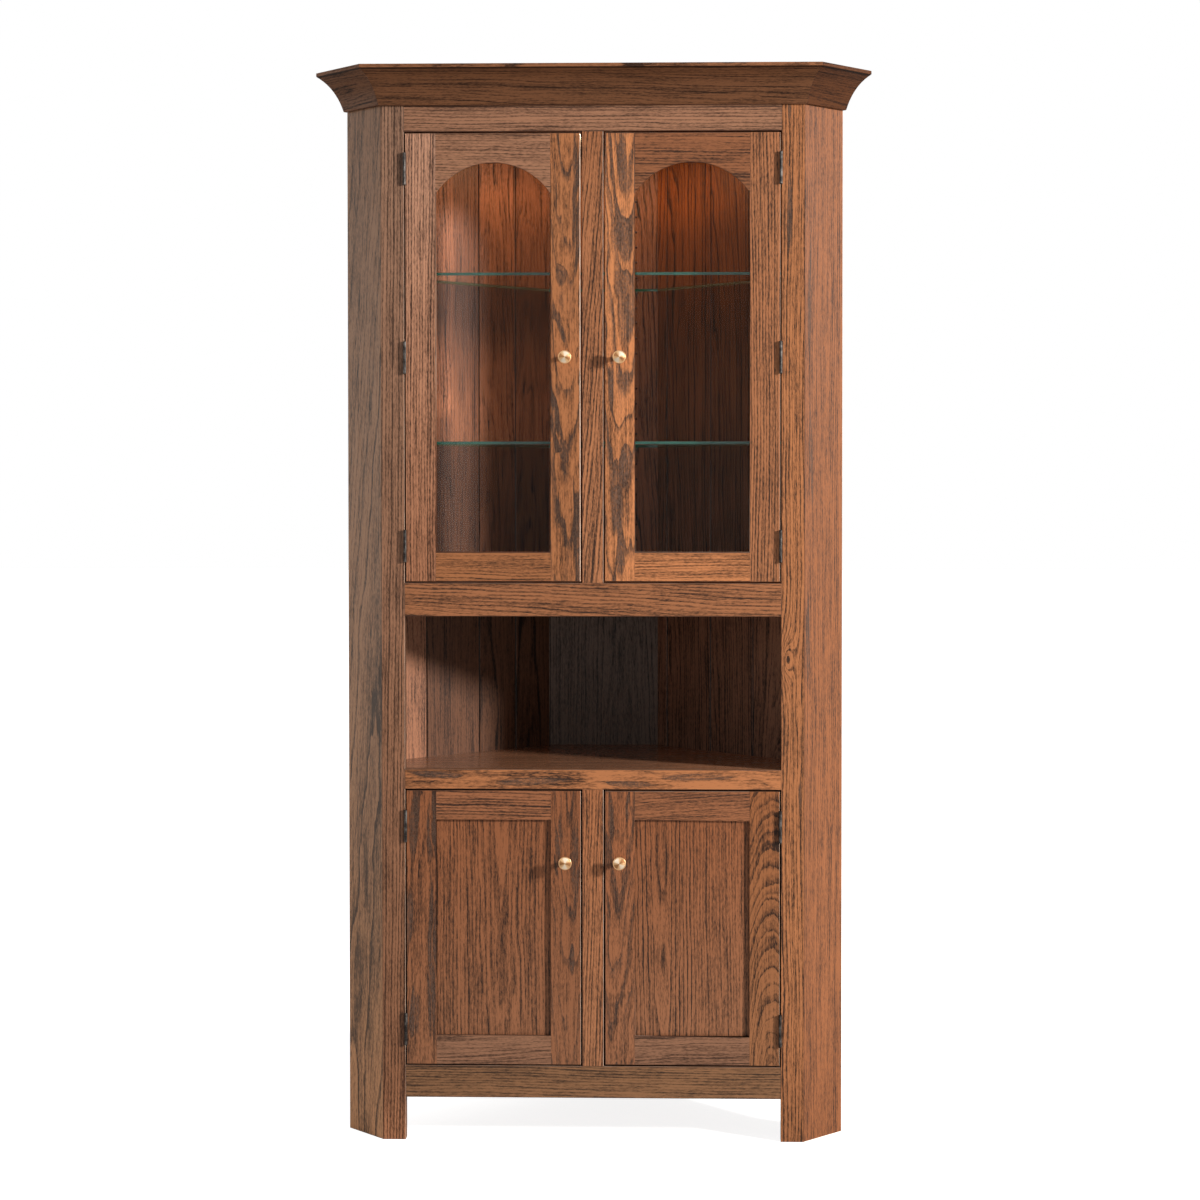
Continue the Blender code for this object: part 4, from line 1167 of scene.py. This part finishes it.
def make_shelf_pins():
    """Turned pins in the holes of the back, four under each shelf."""
    nickel = plain_metal("pin_metal", paint(92, 84, 74), 0.36)
    rear_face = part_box("upper_glass_shelf")[1].y + REAR_PIN_GAP
    wall_x, wall_y = WALL_PIN_SPOT
    spots = []
    for side in SIDES.values():
        spots.append(((side * REAR_PIN_X, rear_face), (0, -1, 0)))
        spots.append(((side * wall_x, wall_y), (-side * DIAGONAL, -DIAGONAL, 0)))
    for node in ("upper_glass_shelf", "lower_glass_shelf", "wooden_shelf"):
        name = node.split("_")[0]
        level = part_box(node)[0].z - SEAM - PEG_RADIUS
        for index, ((x, y), axis) in enumerate(spots):
            pin = lathe(f"{name}_shelf_pin_{index + 1}", [
                (PIN_COLLAR_RADIUS, 0.0001), (PIN_COLLAR_RADIUS, PIN_COLLAR * 0.7),
                (PIN_COLLAR_RADIUS * 0.9, PIN_COLLAR), (PIN_RADIUS, PIN_COLLAR),
                (PIN_RADIUS, PIN_REACH - 0.0008), (PIN_RADIUS * 0.8, PIN_REACH - 0.0002),
                (PIN_RADIUS * 0.4, PIN_REACH), (0.0002, PIN_REACH)], 24, (x, y, level), axis)
            finish_turned(pin, nickel, "carcass", "dark_bronze")


def make_lamp():
    low, high, centre = box_of("interior_lamp")
    radius = (high.x - low.x) / 2
    depth = high.z - low.z
    white = moulded_plastic("lamp_rim_plastic", paint(232, 228, 218), 0.35)
    rim = lathe("lamp_rim", [
        (radius - 0.001, 0), (radius, 0.001), (radius, depth * 0.55),
        (radius - 0.0012, depth * 0.82), (radius - 0.004, depth * 0.98),
        (radius - 0.0062, depth), (radius - 0.0074, depth * 0.94),
        (radius - 0.0078, depth * 0.80), (0.001, depth * 0.80)], 64,
        (centre.x, centre.y, high.z), (0, 0, -1))
    finish_turned(rim, white, "carcass", "lamp_white", "interior_lamp")
    glass = lathe("lamp_lens", [
        (radius - 0.0080, 0), (radius - 0.0080, 0.0008), (radius * 0.60, 0.0014),
        (radius * 0.30, 0.0018), (0.0004, 0.0020)], 64,
        (centre.x, centre.y, high.z - depth * 0.80), (0, 0, -1))
    finish_turned(glass, lamp_lens(), "carcass", "lamp_white")


def make_catches():
    brown = moulded_plastic("catch_plastic", paint(96, 66, 48), 0.45)
    steel = plain_metal("strike_steel", paint(176, 172, 166), 0.30)
    for level in ("upper", "lower"):
        node = f"{level}_door_catch"
        centre = box_of(node)[2]
        body = weld_copy(node, f"{level}_magnet_catch")
        ease(body, brown, width=0.0015)
        settle(body, "carcass", "catch_brown", node)
        for side_name, side in SIDES.items():
            door = f"{level}_{side_name}_door"
            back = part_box(f"{door}_frame")[1].y
            x = side * (mullion_edge + STRIKE_INSET)
            strike = lathe(f"{door}_strike", [
                (STRIKE_RADIUS, 0), (STRIKE_RADIUS, 0.00012), (STRIKE_RADIUS * 0.95, 0.0002),
                (0.0016, 0.0002), (0.0012, 0.0001), (0.0003, 0.0001)], 32,
                (x, back, centre.z), (0, 1, 0))
            finish_turned(strike, steel, door, "dark_bronze")


# ---------------- stage

def make_stage():
    bpy.ops.mesh.primitive_plane_add(size=60, location=(0, 0, 0))
    floor = bpy.context.object
    floor.name = "floor"
    finish = Finish("pale_floor", Base_Color=(0.70, 0.70, 0.70, 1), Roughness=0.9,
                    Specular_IOR_Level=0.1, Emission_Strength=1.0)
    seen = finish.node("LightPath", output=0)
    away = finish.node("VectorMath", {"operation": "LENGTH"}, {0: finish.place()}, 1)
    white = (1.04, 1.04, 1.04, 1)
    finish.set(Emission_Color=finish.dim(white, seen * (0.82 + away.within(0.7, 1.9) * 0.18)))
    dress(floor, finish.material)

    world = bpy.data.worlds.new("studio")
    bpy.context.scene.world = world
    world.use_nodes = True
    tree = world.node_tree
    background = tree.nodes["Background"]
    path = tree.nodes.new("ShaderNodeLightPath")
    add = tree.nodes.new("ShaderNodeMath")
    add.operation = "MAXIMUM"
    tree.links.new(path.outputs["Is Camera Ray"], add.inputs[0])
    tree.links.new(path.outputs["Is Glossy Ray"], add.inputs[1])
    level = tree.nodes.new("ShaderNodeMapRange")
    level.inputs["To Min"].default_value = 0.25
    level.inputs["To Max"].default_value = 1.0
    tree.links.new(add.outputs[0], level.inputs["Value"])
    background.inputs["Color"].default_value = (1, 1, 1, 1)
    tree.links.new(level.outputs[0], background.inputs["Strength"])


KEY_WAY = Vector((0.868, -0.432, 0.2425))
KEY_DISTANCE = 6.0
LAMP_SHIFT = 0.0127
LAMP_DROP = 0.004


def area_light(name, spot, aim, size, power, color):
    data = bpy.data.lights.new(name, "AREA")
    data.shape = "DISK"
    data.size = size
    data.energy = power
    data.color = color
    light = add_object(name, data)
    light.location = spot
    light.rotation_euler = (Vector(aim) - Vector(spot)).to_track_quat("-Z", "Y").to_euler()
    light.visible_camera = False


def make_lights():
    target = Vector((0, face_y, 1.1))
    area_light("key", target + KEY_WAY.normalized() * KEY_DISTANCE, target, 0.70, 492,
               (1.0, 0.97, 0.93))
    area_light("left_panel", (-3.6, 0.4, 1.3), (0, 0, 1.2), 3.0, 42, (1.0, 0.97, 0.92))
    low, _, centre = box_of("interior_lamp")
    # Its light also makes the small bright spot on the upper left door's right arris
    area_light("cabinet_lamp", (centre.x + LAMP_SHIFT, centre.y, low.z - LAMP_DROP),
               (centre.x + LAMP_SHIFT, centre.y, 0), 0.015, 1.35, (1.0, 0.66, 0.36))


LENS = 68.26
SHIFT_X, SHIFT_Y = -0.0469, -0.0550
VIEWPOINT = (0.2320, -4.5414, 1.2600)
LOOKING_DOWN, LOOKING_LEFT = 1.180, 1.443


def make_camera():
    """The photograph's viewpoint, worked out from the case's own corners."""
    data = bpy.data.cameras.new("camera")
    data.sensor_width = 36
    data.lens = LENS
    data.shift_x = SHIFT_X
    data.shift_y = SHIFT_Y
    camera = add_object("camera", data)
    camera.location = VIEWPOINT
    camera.rotation_euler = (math.radians(90 - LOOKING_DOWN), 0, math.radians(LOOKING_LEFT))
    bpy.context.scene.camera = camera


make_camera()
make_stage()
make_stiles()
make_rails()
make_mullions()
make_returns()
make_inside()
make_crown()
make_doors()
make_glazing()
make_knobs()
make_hinges()
make_shelf_pins()
make_lamp()
make_catches()
make_lights()
bpy.context.scene.view_settings.view_transform = "Standard"
